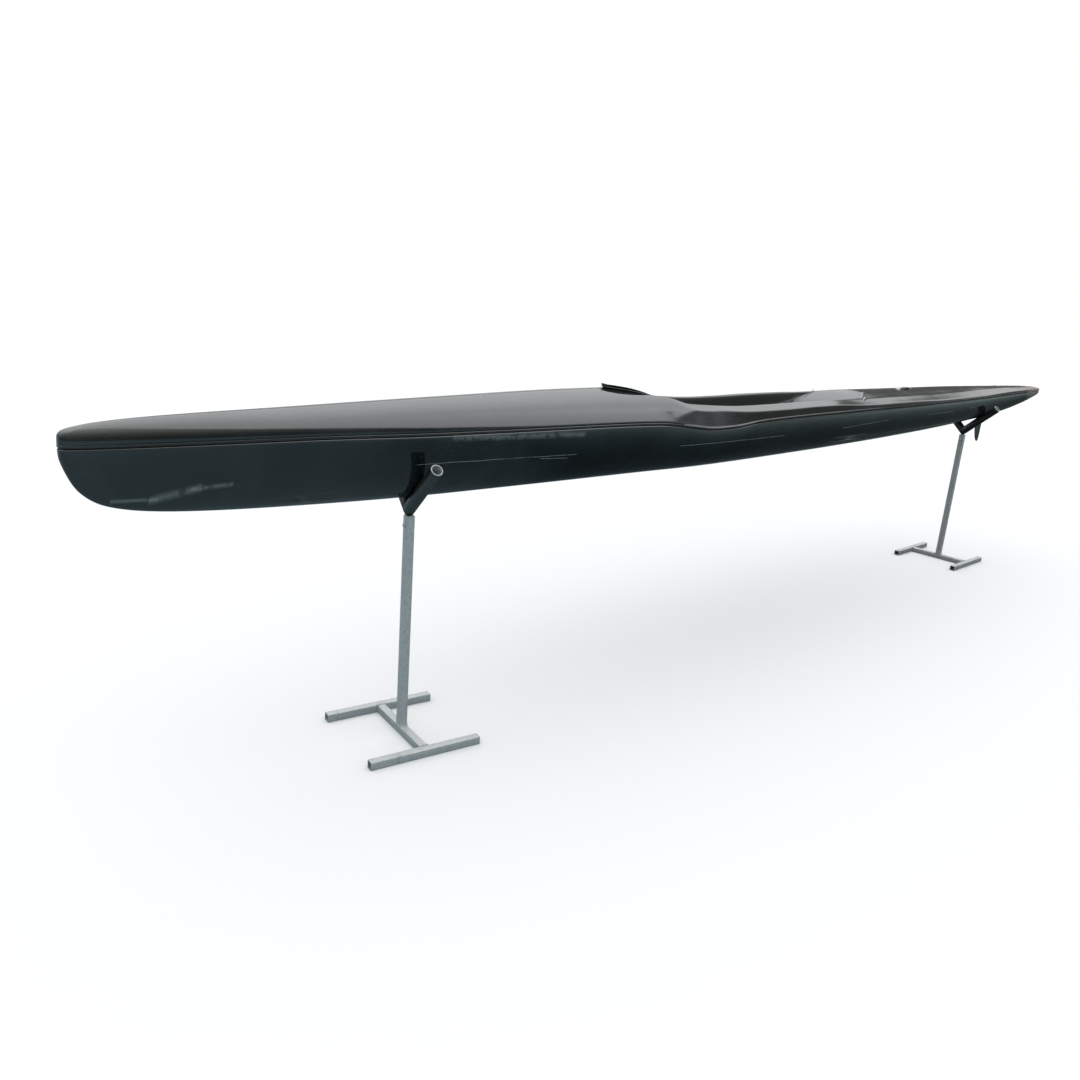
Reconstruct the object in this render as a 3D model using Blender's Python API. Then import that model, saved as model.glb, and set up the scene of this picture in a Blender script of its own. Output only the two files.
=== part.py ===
"""A surfski (a long sit-on-top racing kayak) resting on two trestle stands.

Metres, +Z up. The bow points to -X, the stern to +X, and the floor is at z = 0.
The origin is on the floor, under the middle of the boat.
"""
import math

import bpy
import bmesh
import numpy as np
from mathutils import Matrix, Vector

# Gap between pieces that touch, and the roundness of small round pieces.
GAP = 0.0003
ROUND_SIDES = 20

# Boat: how finely the lofts are stepped, and the thickness of the cockpit's shell.
LOFT_STEP = 0.16
HULL_POINTS = 9
DECK_POINTS = 12
SHELL = 0.008

# Stations of the boat from bow to stern.
# keel and crown are heights; beam is the half width at the seam.
# hull_full and deck_full are the powers of the section curves: 1 is a V, 2 an ellipse, 3 boxy.
STATION_COLUMNS = ("x", "keel", "beam", "hull_full", "crown", "deck_full")
STATIONS = (
    (-3.200, 1.085, 0.010, 1.60, 1.128, 2.6),
    (-3.190, 1.050, 0.017, 1.60, 1.140, 2.6),
    (-3.155, 0.982, 0.028, 1.50, 1.149, 2.6),
    (-3.090, 0.938, 0.041, 1.45, 1.156, 2.6),
    (-2.940, 0.908, 0.062, 1.40, 1.164, 2.5),
    (-2.600, 0.884, 0.096, 1.40, 1.172, 2.4),
    (-2.000, 0.864, 0.142, 1.50, 1.187, 2.2),
    (-1.400, 0.860, 0.178, 1.80, 1.198, 2.1),
    (-0.950, 0.860, 0.200, 2.02, 1.197, 2.1),
    (-0.700, 0.860, 0.211, 2.10, 1.140, 2.1),
    (0.100, 0.871, 0.217, 2.20, 1.134, 2.1),
    (0.450, 0.878, 0.212, 2.24, 1.146, 2.1),
    (1.000, 0.892, 0.196, 2.30, 1.142, 2.1),
    (1.800, 0.922, 0.150, 2.50, 1.140, 2.1),
    (2.450, 0.958, 0.098, 2.50, 1.131, 2.1),
    (2.900, 1.006, 0.060, 2.30, 1.122, 2.2),
    (3.110, 1.041, 0.039, 2.10, 1.113, 2.3),
    (3.185, 1.056, 0.028, 2.00, 1.103, 2.3),
    (3.200, 1.064, 0.019, 2.00, 1.096, 2.3),
)

# The seam dips under the paddler's catch, and the gunwale has its own height line.
SEAM_LINE = (
    (-3.20, 1.097), (-2.60, 1.097), (-2.10, 1.090), (-1.40, 1.088), (-1.10, 1.082), (-0.95, 1.065),
    (-0.78, 1.048), (-0.64, 1.051), (-0.48, 1.066), (-0.20, 1.074), (0.10, 1.078), (0.90, 1.082),
    (1.60, 1.082), (3.20, 1.086),
)
GUNWALE_LINE = (
    (-1.10, 1.160), (-0.90, 1.128), (-0.75, 1.119), (-0.50, 1.109), (-0.30, 1.109), (-0.05, 1.112),
    (0.15, 1.112), (0.40, 1.106), (0.70, 1.098), (1.15, 1.095), (1.60, 1.090), (3.20, 1.092),
)
# How far the ledge rises inboard of the gunwale: little beside the cockpit, more on the aft deck.
LEDGE_RISE_LINE = ((-1.10, 0.012), (-0.60, 0.009), (0.30, 0.009), (0.80, 0.018), (3.20, 0.018))
SIDE_LEAN = 0.20
GUNWALE_LEDGE = 0.040
BLEND_START = -0.99
BLEND_END = -0.79

# Cockpit tub from the splash deflector's peak to the top of the seat back.
# half_width is at the height of the rim, floor is the height of its lowest line.
TUB_COLUMNS = ("x", "rim", "half_width", "floor")
TUB = (
    (-1.230, 1.200, 0.012, 1.165),
    (-1.203, 1.199, 0.042, 1.110),
    (-1.150, 1.194, 0.073, 1.020),
    (-1.075, 1.185, 0.102, 0.952),
    (-0.967, 1.160, 0.150, 0.932),
    (-0.905, 1.136, 0.172, 0.930),
    (-0.840, 1.124, 0.166, 0.930),
    (-0.770, 1.122, 0.158, 0.930),
    (-0.500, 1.122, 0.158, 0.930),
    (-0.340, 1.122, 0.154, 0.975),
    (-0.220, 1.124, 0.152, 1.002),
    (-0.080, 1.126, 0.158, 0.975),
    (0.080, 1.127, 0.165, 0.952),
    (0.200, 1.125, 0.168, 0.960),
    (0.255, 1.124, 0.167, 0.990),
    (0.295, 1.124, 0.164, 1.050),
    (0.340, 1.126, 0.159, 1.086),
    (0.420, 1.131, 0.146, 1.114),
    (0.530, 1.140, 0.108, 1.138),
    (0.600, 1.144, 0.070, 1.1445),
)
# The tub's own walls reach only as far aft as its floor is below the seam.
TUB_WALL_END = 0.450
TUB_STEP = 0.06
TUB_TOP = 1.30
TUB_WALL_TOP = 1.108
TUB_LEAN = 0.20

# Splash deflector: a lip that stands along the front edge of the cockpit.
LIP_HEIGHT = 0.019
LIP_THICKNESS = 0.004
LIP_LEAN = 0.012
LIP_SPREAD = 0.098
LIP_BACK = 0.005
LIP_SINK = 0.004

# Foot brace inside the footwell: rails on the walls, a tilted plate, two pedals and a strap.
RAIL_LENGTH = 0.36
RAIL_X = -0.74
RAIL_Z = 1.027
RAIL_HEIGHT = 0.014
RAIL_DEPTH = 0.012
PLATE_X = -0.86
PLATE_Z = 0.995
PLATE_TILT = math.radians(32.0)
PLATE_THICKNESS = 0.006
PLATE_HALF_HEIGHT = 0.052
PLATE_LOW_HALF = 0.088
PEDAL_WIDTH = 0.070
PEDAL_HALF_HEIGHT = 0.032
PEDAL_Y = 0.052
STRAP_SPAN = 0.170
STRAP_RISE = 0.060
STRAP_WIDTH = 0.030
STRAP_THICKNESS = 0.003

# Bailer through the footwell floor and the hull's bottom.
BAILER_X = -0.62
BAILER_RADIUS = 0.021
BAILER_FLANGE = 0.030

# Deck fittings.
HANDLE_X = 1.20
HANDLE_SPAN = 0.130
HANDLE_WIDTH = 0.022
HANDLE_RISE = 0.011
HANDLE_THICKNESS = 0.003
EYELET_X = 0.50
EYELET_Y = 0.150
EYELET_SPAN = 0.030
EYELET_RISE = 0.014
EYELET_BAR = 0.004
PLUG_X = 2.50
PLUG_RADIUS = 0.017
PLUG_SINK = 0.008
PLUG_PROUD = 0.002

# Rudder under the stern: it swings about a vertical stock.
RUDDER_X = 2.325
STOCK_RADIUS = 0.004
STOCK_TOP = 1.060
STOCK_IN_BLADE = 0.050
BLADE_TOP = 0.938
BLADE_TIP = 0.772
BLADE_CHORD = 0.100
BLADE_THICKNESS = 0.015
BLADE_AHEAD = 0.045
BLADE_LEVELS = 7

# Trestle stands, of square tube.
TUBE = 0.030
TUBE_WALL = 0.0025
FOOT_LENGTH = 0.412
FOOT_SPACING = 0.375
ARM_ANGLE = math.radians(43.0)
ARM_LENGTH = 0.246
ARM_RADIUS = 0.020
ARM_WALL = 0.003
SLEEVE_RADIUS = 0.0225
SLEEVE_SHORT = 0.003
HEAD_CUT = 0.0235
STEM_DEPTH = 0.100
BOLT_DROP = 0.033
BOLT_RADIUS = 0.004
BOLT_HEAD = 0.007
BOLT_HEAD_DEPTH = 0.006
# Each stand's name, its place along the boat and its turn about the post.
STANDS = (
    ("bow_stand", -2.138, math.radians(-8.35)),
    ("stern_stand", 2.124, 0.0),
)

BLACK_GEL = (0.012, 0.016, 0.018)
PLAIN_BLACK = (0.02, 0.02, 0.022)
GALVANISED = (0.52, 0.55, 0.56)


def smooth_line(points, at):
    """Smooth curve through (x, value) points that never overshoots them."""
    xs = np.array([p[0] for p in points])
    ys = np.array([p[1] for p in points])
    width = np.diff(xs)
    slope = np.diff(ys) / width
    tangent = np.zeros(len(xs))
    tangent[0] = slope[0]
    tangent[-1] = slope[-1]
    same_way = slope[:-1] * slope[1:] > 0
    weight_a = 2 * width[1:] + width[:-1]
    weight_b = width[1:] + 2 * width[:-1]
    with np.errstate(divide="ignore", invalid="ignore"):
        mean = (weight_a + weight_b) / (weight_a / slope[:-1] + weight_b / slope[1:])
    tangent[1:-1] = np.where(same_way, mean, 0.0)
    at = np.clip(np.asarray(at, float), xs[0], xs[-1])
    i = np.clip(np.searchsorted(xs, at) - 1, 0, len(xs) - 2)
    t = (at - xs[i]) / width[i]
    start = ys[i] * (1 + 2 * t) * (1 - t) ** 2 + width[i] * tangent[i] * t * (1 - t) ** 2
    end = ys[i + 1] * t * t * (3 - 2 * t) + width[i] * tangent[i + 1] * t * t * (t - 1)
    return start + end


def column(table, columns, name, at):
    """One named column of a table, as a smooth curve along x."""
    k = columns.index(name)
    return smooth_line([(row[0], row[k]) for row in table], at)


def station(name, at):
    return column(STATIONS, STATION_COLUMNS, name, at)


def seam_height(at):
    return smooth_line(SEAM_LINE, at)


def stepped(knots, step):
    """Stations at every knot, with equal steps no longer than step in between."""
    out = [knots[0]]
    for a, b in zip(knots[:-1], knots[1:]):
        count = max(1, math.ceil((b - a) / step))
        out.extend(a + (b - a) * (k + 1) / count for k in range(count))
    return np.array(out)


def super_curve(half_width, height, power, count):
    """Points of a quarter section from its side (full width) to its middle (full height)."""
    angle = np.linspace(0.0, math.pi / 2, count)
    y = half_width * np.cos(angle).clip(0, 1) ** (2 / power)
    z = height * np.sin(angle).clip(0, 1) ** (2 / power)
    return y, z


def hull_section(x):
    """Ring of the hull at x: down one side, round the keel, up the other and back along the seam."""
    seam = float(seam_height(x))
    y, z = super_curve(float(station("beam", x)), seam - float(station("keel", x)),
                       float(station("hull_full", x)), HULL_POINTS)
    side = np.stack([np.full_like(y, x), -y, seam - z], 1)
    other = side[-2::-1] * (1, -1, 1)
    return np.concatenate([side, other])


def gunwale_half(x, beam, seam, crown):
    """Half section with a side, a flat ledge and a low crown, from the seam to the middle."""
    gunwale = float(smooth_line(GUNWALE_LINE, x))
    gunwale = min(gunwale, crown - 0.2 * (crown - seam))
    inset = min(SIDE_LEAN * (gunwale - seam), 0.2 * beam)
    ledge = min(GUNWALE_LEDGE, 0.3 * beam)
    rise = min(float(smooth_line(LEDGE_RISE_LINE, x)), 0.5 * (crown - gunwale))
    edge = beam - inset
    y = [beam, beam - 0.35 * inset, beam - 0.7 * inset, edge, edge - 0.3 * ledge, edge - ledge]
    z = [seam, seam + 0.4 * (gunwale - seam), seam + 0.8 * (gunwale - seam), gunwale,
         gunwale + 0.5 * rise, gunwale + rise]
    inner = DECK_POINTS - len(y)
    t = np.arange(1, inner + 1) / inner
    y = np.concatenate([y, (edge - ledge) * (1 - t)])
    z = np.concatenate([z, gunwale + rise + (crown - gunwale - rise) * np.sin(t * math.pi / 2)])
    return y, z


def deck_half(x):
    """Top of the deck at x, from the seam to the middle line."""
    seam = float(seam_height(x))
    beam = float(station("beam", x))
    crown = float(station("crown", x))
    fore_y, fore_z = super_curve(beam, crown - seam, float(station("deck_full", x)), DECK_POINTS)
    fore_z = fore_z + seam
    aft_y, aft_z = gunwale_half(x, beam, seam, crown)
    t = min(max((x - BLEND_START) / (BLEND_END - BLEND_START), 0.0), 1.0)
    mix = t * t * (3 - 2 * t)
    return fore_y * (1 - mix) + aft_y * mix, fore_z * (1 - mix) + aft_z * mix


def deck_section(x):
    """Ring of the deck at x: over the top, then flat across just above the hull."""
    y, z = deck_half(x)
    top = np.stack([np.full_like(y, x), -y, z + GAP], 1)
    other = top[-2::-1] * (1, -1, 1)
    return np.concatenate([top, other])[::-1]


def tub_section(x, grow, top):
    """Ring of the cockpit tub at x: a flat bottom with rounded corners and leaning walls."""
    rim = float(column(TUB, TUB_COLUMNS, "rim", x))
    half = float(column(TUB, TUB_COLUMNS, "half_width", x))
    floor = float(column(TUB, TUB_COLUMNS, "floor", x))
    radius = min(0.55 * half, 0.6 * (rim - floor))
    bottom = half - TUB_LEAN * (rim - floor - radius) + grow
    corner = floor + radius
    top = max(top, corner + 0.001)
    y = [bottom + TUB_LEAN * (top - corner)]
    z = [top]
    for angle in np.linspace(0.0, math.pi / 2, 5):
        y.append(bottom - (radius + grow) * (1 - math.cos(angle)))
        z.append(corner - (radius + grow) * math.sin(angle))
    side = np.stack([np.full(len(y), x), -np.array(y), np.array(z)], 1)
    other = side[::-1] * (1, -1, 1)
    return np.concatenate([side, other])


def loft(name, rings):
    """Closed solid through rings of points that run the same way round."""
    mesh = bpy.data.meshes.new(name)
    bm = bmesh.new()
    rows = [[bm.verts.new(p) for p in ring] for ring in rings]
    for row, following in zip(rows[:-1], rows[1:]):
        for k in range(len(row)):
            m = (k + 1) % len(row)
            bm.faces.new((row[k], row[m], following[m]))
            bm.faces.new((row[k], following[m], following[k]))
    bm.faces.new(rows[0][::-1])
    bm.faces.new(rows[-1])
    bmesh.ops.recalc_face_normals(bm, faces=bm.faces)
    bm.to_mesh(mesh)
    bm.free()
    return bpy.data.objects.new(name, mesh)


def box(name, size, centre=(0, 0, 0)):
    """Box of the given size, its place in its mesh."""
    mesh = bpy.data.meshes.new(name)
    bm = bmesh.new()
    place = Matrix.Translation(centre) @ Matrix.Diagonal((*size, 1))
    bmesh.ops.create_cube(bm, size=1, matrix=place)
    bm.to_mesh(mesh)
    bm.free()
    return bpy.data.objects.new(name, mesh)


def rod(name, radius, start, end, sides=ROUND_SIDES):
    """Round bar between two points, its place in its mesh."""
    start = Vector(start)
    end = Vector(end)
    along = end - start
    turn = along.to_track_quat("Z", "Y").to_matrix().to_4x4()
    mesh = bpy.data.meshes.new(name)
    bm = bmesh.new()
    bmesh.ops.create_cone(bm, cap_ends=True, segments=sides, radius1=radius, radius2=radius,
                          depth=along.length, matrix=Matrix.Translation((start + end) / 2) @ turn)
    bm.to_mesh(mesh)
    bm.free()
    return bpy.data.objects.new(name, mesh)


def material(name, colour, roughness, metallic=0.0):
    found = bpy.data.materials.get(name)
    if found:
        return found
    made = bpy.data.materials.new(name)
    made.use_nodes = True
    shader = made.node_tree.nodes["Principled BSDF"]
    shader.inputs["Base Color"].default_value = (*colour, 1.0)
    shader.inputs["Roughness"].default_value = roughness
    shader.inputs["Metallic"].default_value = metallic
    return made


class Builder:
    """The two collections, and the ways that pieces are added, cut and joined."""

    def __init__(self):
        for old in list(bpy.data.objects):
            bpy.data.objects.remove(old, do_unlink=True)
        self.parts = bpy.data.collections.new("surfski_on_stands")
        self.cutters = bpy.data.collections.new("cutters")
        for group in (self.parts, self.cutters):
            bpy.context.scene.collection.children.link(group)

    def part(self, piece, finish, parent=None, round_piece=False):
        piece.data.materials.append(finish)
        self.parts.objects.link(piece)
        if parent:
            piece.parent = parent
        if round_piece:
            piece.data.shade_smooth()
            piece.data.set_sharp_from_angle(angle=math.radians(35))
        return piece

    def tool(self, piece, parent=None):
        """A cutter or a piece that only serves to shape another."""
        piece.hide_render = True
        piece.display_type = "WIRE"
        self.cutters.objects.link(piece)
        if parent:
            piece.parent = parent
        return piece

    def boolean(self, target, tool, operation="DIFFERENCE"):
        step = target.modifiers.new(operation.title(), "BOOLEAN")
        step.solver = "EXACT"
        step.operation = operation
        step.object = tool

    def empty(self, name, place, turn=0.0):
        axis = bpy.data.objects.new(name, None)
        axis.location = place
        axis.rotation_euler = (0, 0, turn)
        self.parts.objects.link(axis)
        return axis


def tub_solid(name, grow, top):
    """The tub as a solid: the space itself, or grown by the shell that stands round it."""
    end = TUB_WALL_END if grow else TUB[-1][0]
    xs = stepped([row[0] for row in TUB if row[0] <= end], TUB_STEP)
    ends = xs.copy()
    ends[0] -= grow
    ends[-1] += grow
    rings = []
    for x, end in zip(xs, ends):
        ring = tub_section(x, grow, top)
        ring[:, 0] = end
        rings.append(ring)
    return loft(name, rings)


def deck_height(x, y):
    """Height of the faceted deck at (x, y), outside the cockpit."""
    xs = stepped([row[0] for row in STATIONS], LOFT_STEP)
    i = int(np.clip(np.searchsorted(xs, x), 1, len(xs) - 1))
    heights = []
    for edge in (xs[i - 1], xs[i]):
        half_y, half_z = deck_half(edge)
        heights.append(np.interp(abs(y), half_y[::-1], half_z[::-1]))
    t = (x - xs[i - 1]) / (xs[i] - xs[i - 1])
    return heights[0] * (1 - t) + heights[1] * t + GAP


def seat_height(x, y, reach_x, reach_y):
    """Lowest height at which a small flat foot clears the deck."""
    spots = [(x + i * reach_x, y + j * reach_y) for i in (-1, 0, 1) for j in (-1, 0, 1)]
    return max(deck_height(u, v) for u, v in spots) + GAP


def cradle_height(x, turn):
    """Height at which a stand's arms cross when both sleeves just meet the hull."""
    xs = stepped([row[0] for row in STATIONS], LOFT_STEP)
    rings = np.array([hull_section(v) for v in xs])
    reach = SLEEVE_RADIUS + GAP
    near = np.abs(xs - x) < 0.4
    samples = []
    rings = rings[near]
    for a, b in zip(rings[:-1], rings[1:]):
        for t in np.linspace(0.0, 1.0, 60):
            ring = a * (1 - t) + b * t
            for s in np.linspace(0.0, 1.0, 12):
                samples.append(ring[:-1] * (1 - s) + ring[1:] * s)
    p = np.concatenate(samples) - (x, 0, 0)
    along = math.cos(turn) * p[:, 0] + math.sin(turn) * p[:, 1]
    across = -math.sin(turn) * p[:, 0] + math.cos(turn) * p[:, 1]
    close = np.abs(along) < reach
    along, across, height = along[close], across[close], p[close, 2]
    lean = np.abs(across) * math.sin(ARM_ANGLE) + np.sqrt(reach ** 2 - along ** 2)
    return float((height - lean / math.cos(ARM_ANGLE)).min())


def flat_piece(name, outline, thickness):
    """Flat outline in x and y, given thickness about z = 0, as a mesh."""
    curve = bpy.data.curves.new(name, "CURVE")
    curve.dimensions = "2D"
    curve.fill_mode = "BOTH"
    curve.extrude = thickness / 2
    line = curve.splines.new("POLY")
    line.points.add(len(outline) - 1)
    for point, (u, v) in zip(line.points, outline):
        point.co = (u, v, 0, 1)
    line.use_cyclic_u = True
    holder = bpy.data.objects.new(name, curve)
    bpy.context.scene.collection.objects.link(holder)
    graph = bpy.context.evaluated_depsgraph_get()
    mesh = bpy.data.meshes.new_from_object(holder.evaluated_get(graph))
    bpy.data.objects.remove(holder, do_unlink=True)
    bm = bmesh.new()
    bm.from_mesh(mesh)
    bmesh.ops.remove_doubles(bm, verts=bm.verts, dist=0.00001)
    bmesh.ops.recalc_face_normals(bm, faces=bm.faces)
    bm.to_mesh(mesh)
    bm.free()
    return bpy.data.objects.new(name, mesh)


def arch(name, span, rise, thickness, width):
    """Band that stands on its two ends along x: a half ellipse in x and z."""
    angles = np.linspace(0.0, math.pi, 13)
    outer = [(span / 2 * math.cos(a), rise * math.sin(a)) for a in angles]
    inner = [((span / 2 - thickness) * math.cos(a), (rise - thickness) * math.sin(a))
             for a in angles[::-1]]
    piece = flat_piece(name, outer + inner, width)
    piece.data.transform(Matrix.Rotation(math.pi / 2, 4, "X"))
    return piece


def lip_solid(name, grow):
    """Splash deflector: a thin wall along the cockpit's front edge, highest at its peak."""
    front = [(row[2], row[0]) for row in TUB if row[2] < LIP_SPREAD + 0.02 and row[0] < -1.0]
    t = np.linspace(-1.0, 1.0, 17)
    path_y = LIP_SPREAD * t
    path_x = smooth_line(front, np.abs(path_y))
    out_x = -np.gradient(path_y)
    out_y = np.gradient(path_x)
    length = np.hypot(out_x, out_y)
    out_x, out_y = out_x / length, out_y / length
    path_x = path_x + LIP_BACK * out_x
    for k, way in ((0, -2), (-1, 2)):
        path_x[k] += way * grow * out_y[k]
        path_y[k] -= way * grow * out_x[k]
    path_y = path_y + LIP_BACK * out_y
    half = LIP_THICKNESS / 2 + grow
    rings = []
    for k in range(len(t)):
        foot = deck_height(path_x[k], path_y[k]) - LIP_SINK - grow
        top = foot + LIP_SINK + LIP_HEIGHT * (1 - abs(t[k]) ** 2.2) + 0.001 + 2 * grow
        lean = LIP_LEAN * (1 - t[k] ** 2)
        spots = ((half, foot), (half + lean, top), (lean - half, top), (-half, foot))
        rings.append(np.array([(path_x[k] + d * out_x[k], path_y[k] + d * out_y[k], z)
                               for d, z in spots]))
    return loft(name, rings)


def blade_solid(name):
    """Rudder blade: lens sections that shrink to a point, swept a little aft."""
    rings = []
    for level in np.linspace(0.0, 1.0, BLADE_LEVELS):
        shrink = math.sqrt(max(1 - level ** 2.2, 0.0)) * 0.94 + 0.06
        chord = BLADE_CHORD * shrink
        nose = RUDDER_X - BLADE_AHEAD + (BLADE_CHORD - chord) * 0.78 + 0.010 * level
        thick = BLADE_THICKNESS * (0.25 + 0.75 * (1 - level)) * shrink
        angles = np.linspace(0.0, 2 * math.pi, 14, endpoint=False)
        z = BLADE_TOP + (BLADE_TIP - BLADE_TOP) * level
        x = nose + chord * (1 - np.cos(angles)) / 2
        y = thick / 2 * np.sin(angles) * (1 - 0.35 * (1 - np.cos(angles)) / 2)
        rings.append(np.stack([x, y, np.full_like(x, z)], 1))
    return loft(name, rings)


def make_boat(b, gel):
    xs = stepped([row[0] for row in STATIONS], LOFT_STEP)
    hull = b.part(loft("hull", [hull_section(x) for x in xs]), gel, round_piece=True)
    deck = b.part(loft("deck", [deck_section(x) for x in xs]), gel, round_piece=True)
    tub_wall = b.tool(tub_solid("tub_wall", SHELL, TUB_WALL_TOP))
    tub_space = b.tool(tub_solid("tub_space", 0.0, TUB_TOP))
    tub_pocket = b.tool(tub_solid("tub_pocket", SHELL + GAP, TUB_TOP))
    bailer_bore = b.tool(rod("bailer_bore", BAILER_RADIUS + GAP,
                             (BAILER_X, 0, 0.80), (BAILER_X, 0, 1.00)))
    stock_bore = b.tool(rod("stock_bore", STOCK_RADIUS + GAP,
                            (RUDDER_X, 0, 0.90), (RUDDER_X, 0, STOCK_TOP + GAP)))
    plug_seat = deck_height(PLUG_X, 0) - PLUG_SINK
    plug_recess = b.tool(rod("plug_recess", PLUG_RADIUS + GAP,
                             (PLUG_X, 0, plug_seat - GAP), (PLUG_X, 0, plug_seat + 0.05)))
    lip_groove = b.tool(lip_solid("lip_groove", GAP))
    b.boolean(hull, tub_pocket)
    b.boolean(hull, stock_bore)
    b.boolean(hull, bailer_bore)
    b.boolean(deck, tub_wall, "UNION")
    b.boolean(deck, tub_space)
    b.boolean(deck, bailer_bore)
    b.boolean(deck, plug_recess)
    b.boolean(deck, lip_groove)


def make_deck_fittings(b, gel, fitting, steel):
    b.part(lip_solid("splash_deflector", 0.0), gel)
    plug_seat = deck_height(PLUG_X, 0) - PLUG_SINK
    b.part(rod("drain_plug", PLUG_RADIUS, (PLUG_X, 0, plug_seat),
               (PLUG_X, 0, plug_seat + PLUG_SINK + PLUG_PROUD)), fitting, round_piece=True)
    handle = b.part(arch("aft_handle", HANDLE_SPAN, HANDLE_RISE, HANDLE_THICKNESS, HANDLE_WIDTH),
                    fitting)
    handle.location = (HANDLE_X, 0, seat_height(HANDLE_X, 0, HANDLE_SPAN / 2, HANDLE_WIDTH / 2))
    for side, name in ((-1, "eyelet_left"), (1, "eyelet_right")):
        eyelet = b.part(arch(name, EYELET_SPAN, EYELET_RISE, EYELET_BAR, EYELET_BAR), steel)
        seat = seat_height(EYELET_X, EYELET_Y, EYELET_SPAN / 2, EYELET_BAR / 2)
        eyelet.location = (EYELET_X, side * EYELET_Y, seat)


def make_foot_brace(b, fitting, webbing, steel):
    wall = float(column(TUB, TUB_COLUMNS, "half_width", RAIL_X))
    rim = float(column(TUB, TUB_COLUMNS, "rim", RAIL_X))
    rail_outer = wall - TUB_LEAN * (rim - RAIL_Z + RAIL_HEIGHT / 2) - GAP
    for side, name in ((-1, "foot_rail_left"), (1, "foot_rail_right")):
        b.part(box(name, (RAIL_LENGTH, RAIL_DEPTH, RAIL_HEIGHT),
                   (RAIL_X, side * (rail_outer - RAIL_DEPTH / 2), RAIL_Z)), steel)
    half = rail_outer - RAIL_DEPTH - GAP
    tilt = Matrix.Translation((PLATE_X, 0, PLATE_Z)) @ Matrix.Rotation(-PLATE_TILT, 4, "Y")
    stand_up = tilt @ Matrix.Rotation(math.pi / 2, 4, "Z") @ Matrix.Rotation(math.pi / 2, 4, "X")
    low = PLATE_LOW_HALF
    high = PLATE_HALF_HEIGHT
    outline = [(-low, -high), (low, -high), (half, -0.1 * high), (half, high), (-half, high),
               (-half, -0.1 * high)]
    plate = b.part(flat_piece("footplate", outline, PLATE_THICKNESS), fitting)
    plate.matrix_world = stand_up
    for side, name in ((-1, "pedal_left"), (1, "pedal_right")):
        pedal = b.part(box(name, (PEDAL_WIDTH, 2 * PEDAL_HALF_HEIGHT, PLATE_THICKNESS),
                           (side * PEDAL_Y, high + PEDAL_HALF_HEIGHT + GAP, 0)), fitting)
        pedal.matrix_world = stand_up
    strap = b.part(arch("foot_strap", STRAP_SPAN, STRAP_RISE, STRAP_THICKNESS, STRAP_WIDTH), webbing)
    strap.matrix_world = (tilt @ Matrix.Translation((PLATE_THICKNESS / 2 + GAP, 0, 0))
                          @ Matrix.Rotation(math.pi / 2, 4, "Y") @ Matrix.Rotation(math.pi / 2, 4, "Z"))


def make_bailer(b, fitting):
    keel = float(station("keel", BAILER_X))
    floor = float(column(TUB, TUB_COLUMNS, "floor", BAILER_X))
    body = b.part(rod("bailer", BAILER_RADIUS, (BAILER_X, 0, keel + 0.003),
                      (BAILER_X, 0, floor + 0.002)), fitting, round_piece=True)
    flange = b.tool(rod("bailer_flange", BAILER_FLANGE, (BAILER_X, 0, floor + GAP),
                        (BAILER_X, 0, floor + 0.004)))
    b.boolean(body, flange, "UNION")


def make_rudder(b, gel, steel):
    axis = b.empty("rudder_axis", (RUDDER_X, 0, 0))
    blade = b.part(blade_solid("rudder_blade"), gel, round_piece=True)
    stock = b.part(rod("rudder_stock", STOCK_RADIUS, (RUDDER_X, 0, BLADE_TOP - STOCK_IN_BLADE),
                       (RUDDER_X, 0, STOCK_TOP)), steel, round_piece=True)
    bore = b.tool(rod("blade_bore", STOCK_RADIUS + GAP,
                      (RUDDER_X, 0, BLADE_TOP - STOCK_IN_BLADE - GAP), (RUDDER_X, 0, BLADE_TOP + 0.01)))
    b.boolean(blade, bore)
    for piece in (blade, stock, bore):
        piece.parent = axis
        piece.data.transform(Matrix.Translation((-RUDDER_X, 0, 0)))


def square_tube(b, name, finish, size, centre, along, parent):
    """Square tube with open ends, running along x (0), y (1) or z (2)."""
    tube = b.part(box(name, size, centre), finish, parent)
    inside = [v - 2 * TUBE_WALL for v in size]
    inside[along] = size[along] + 0.02
    b.boolean(tube, b.tool(box(name + "_bore", inside, centre), parent))
    return tube


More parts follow.
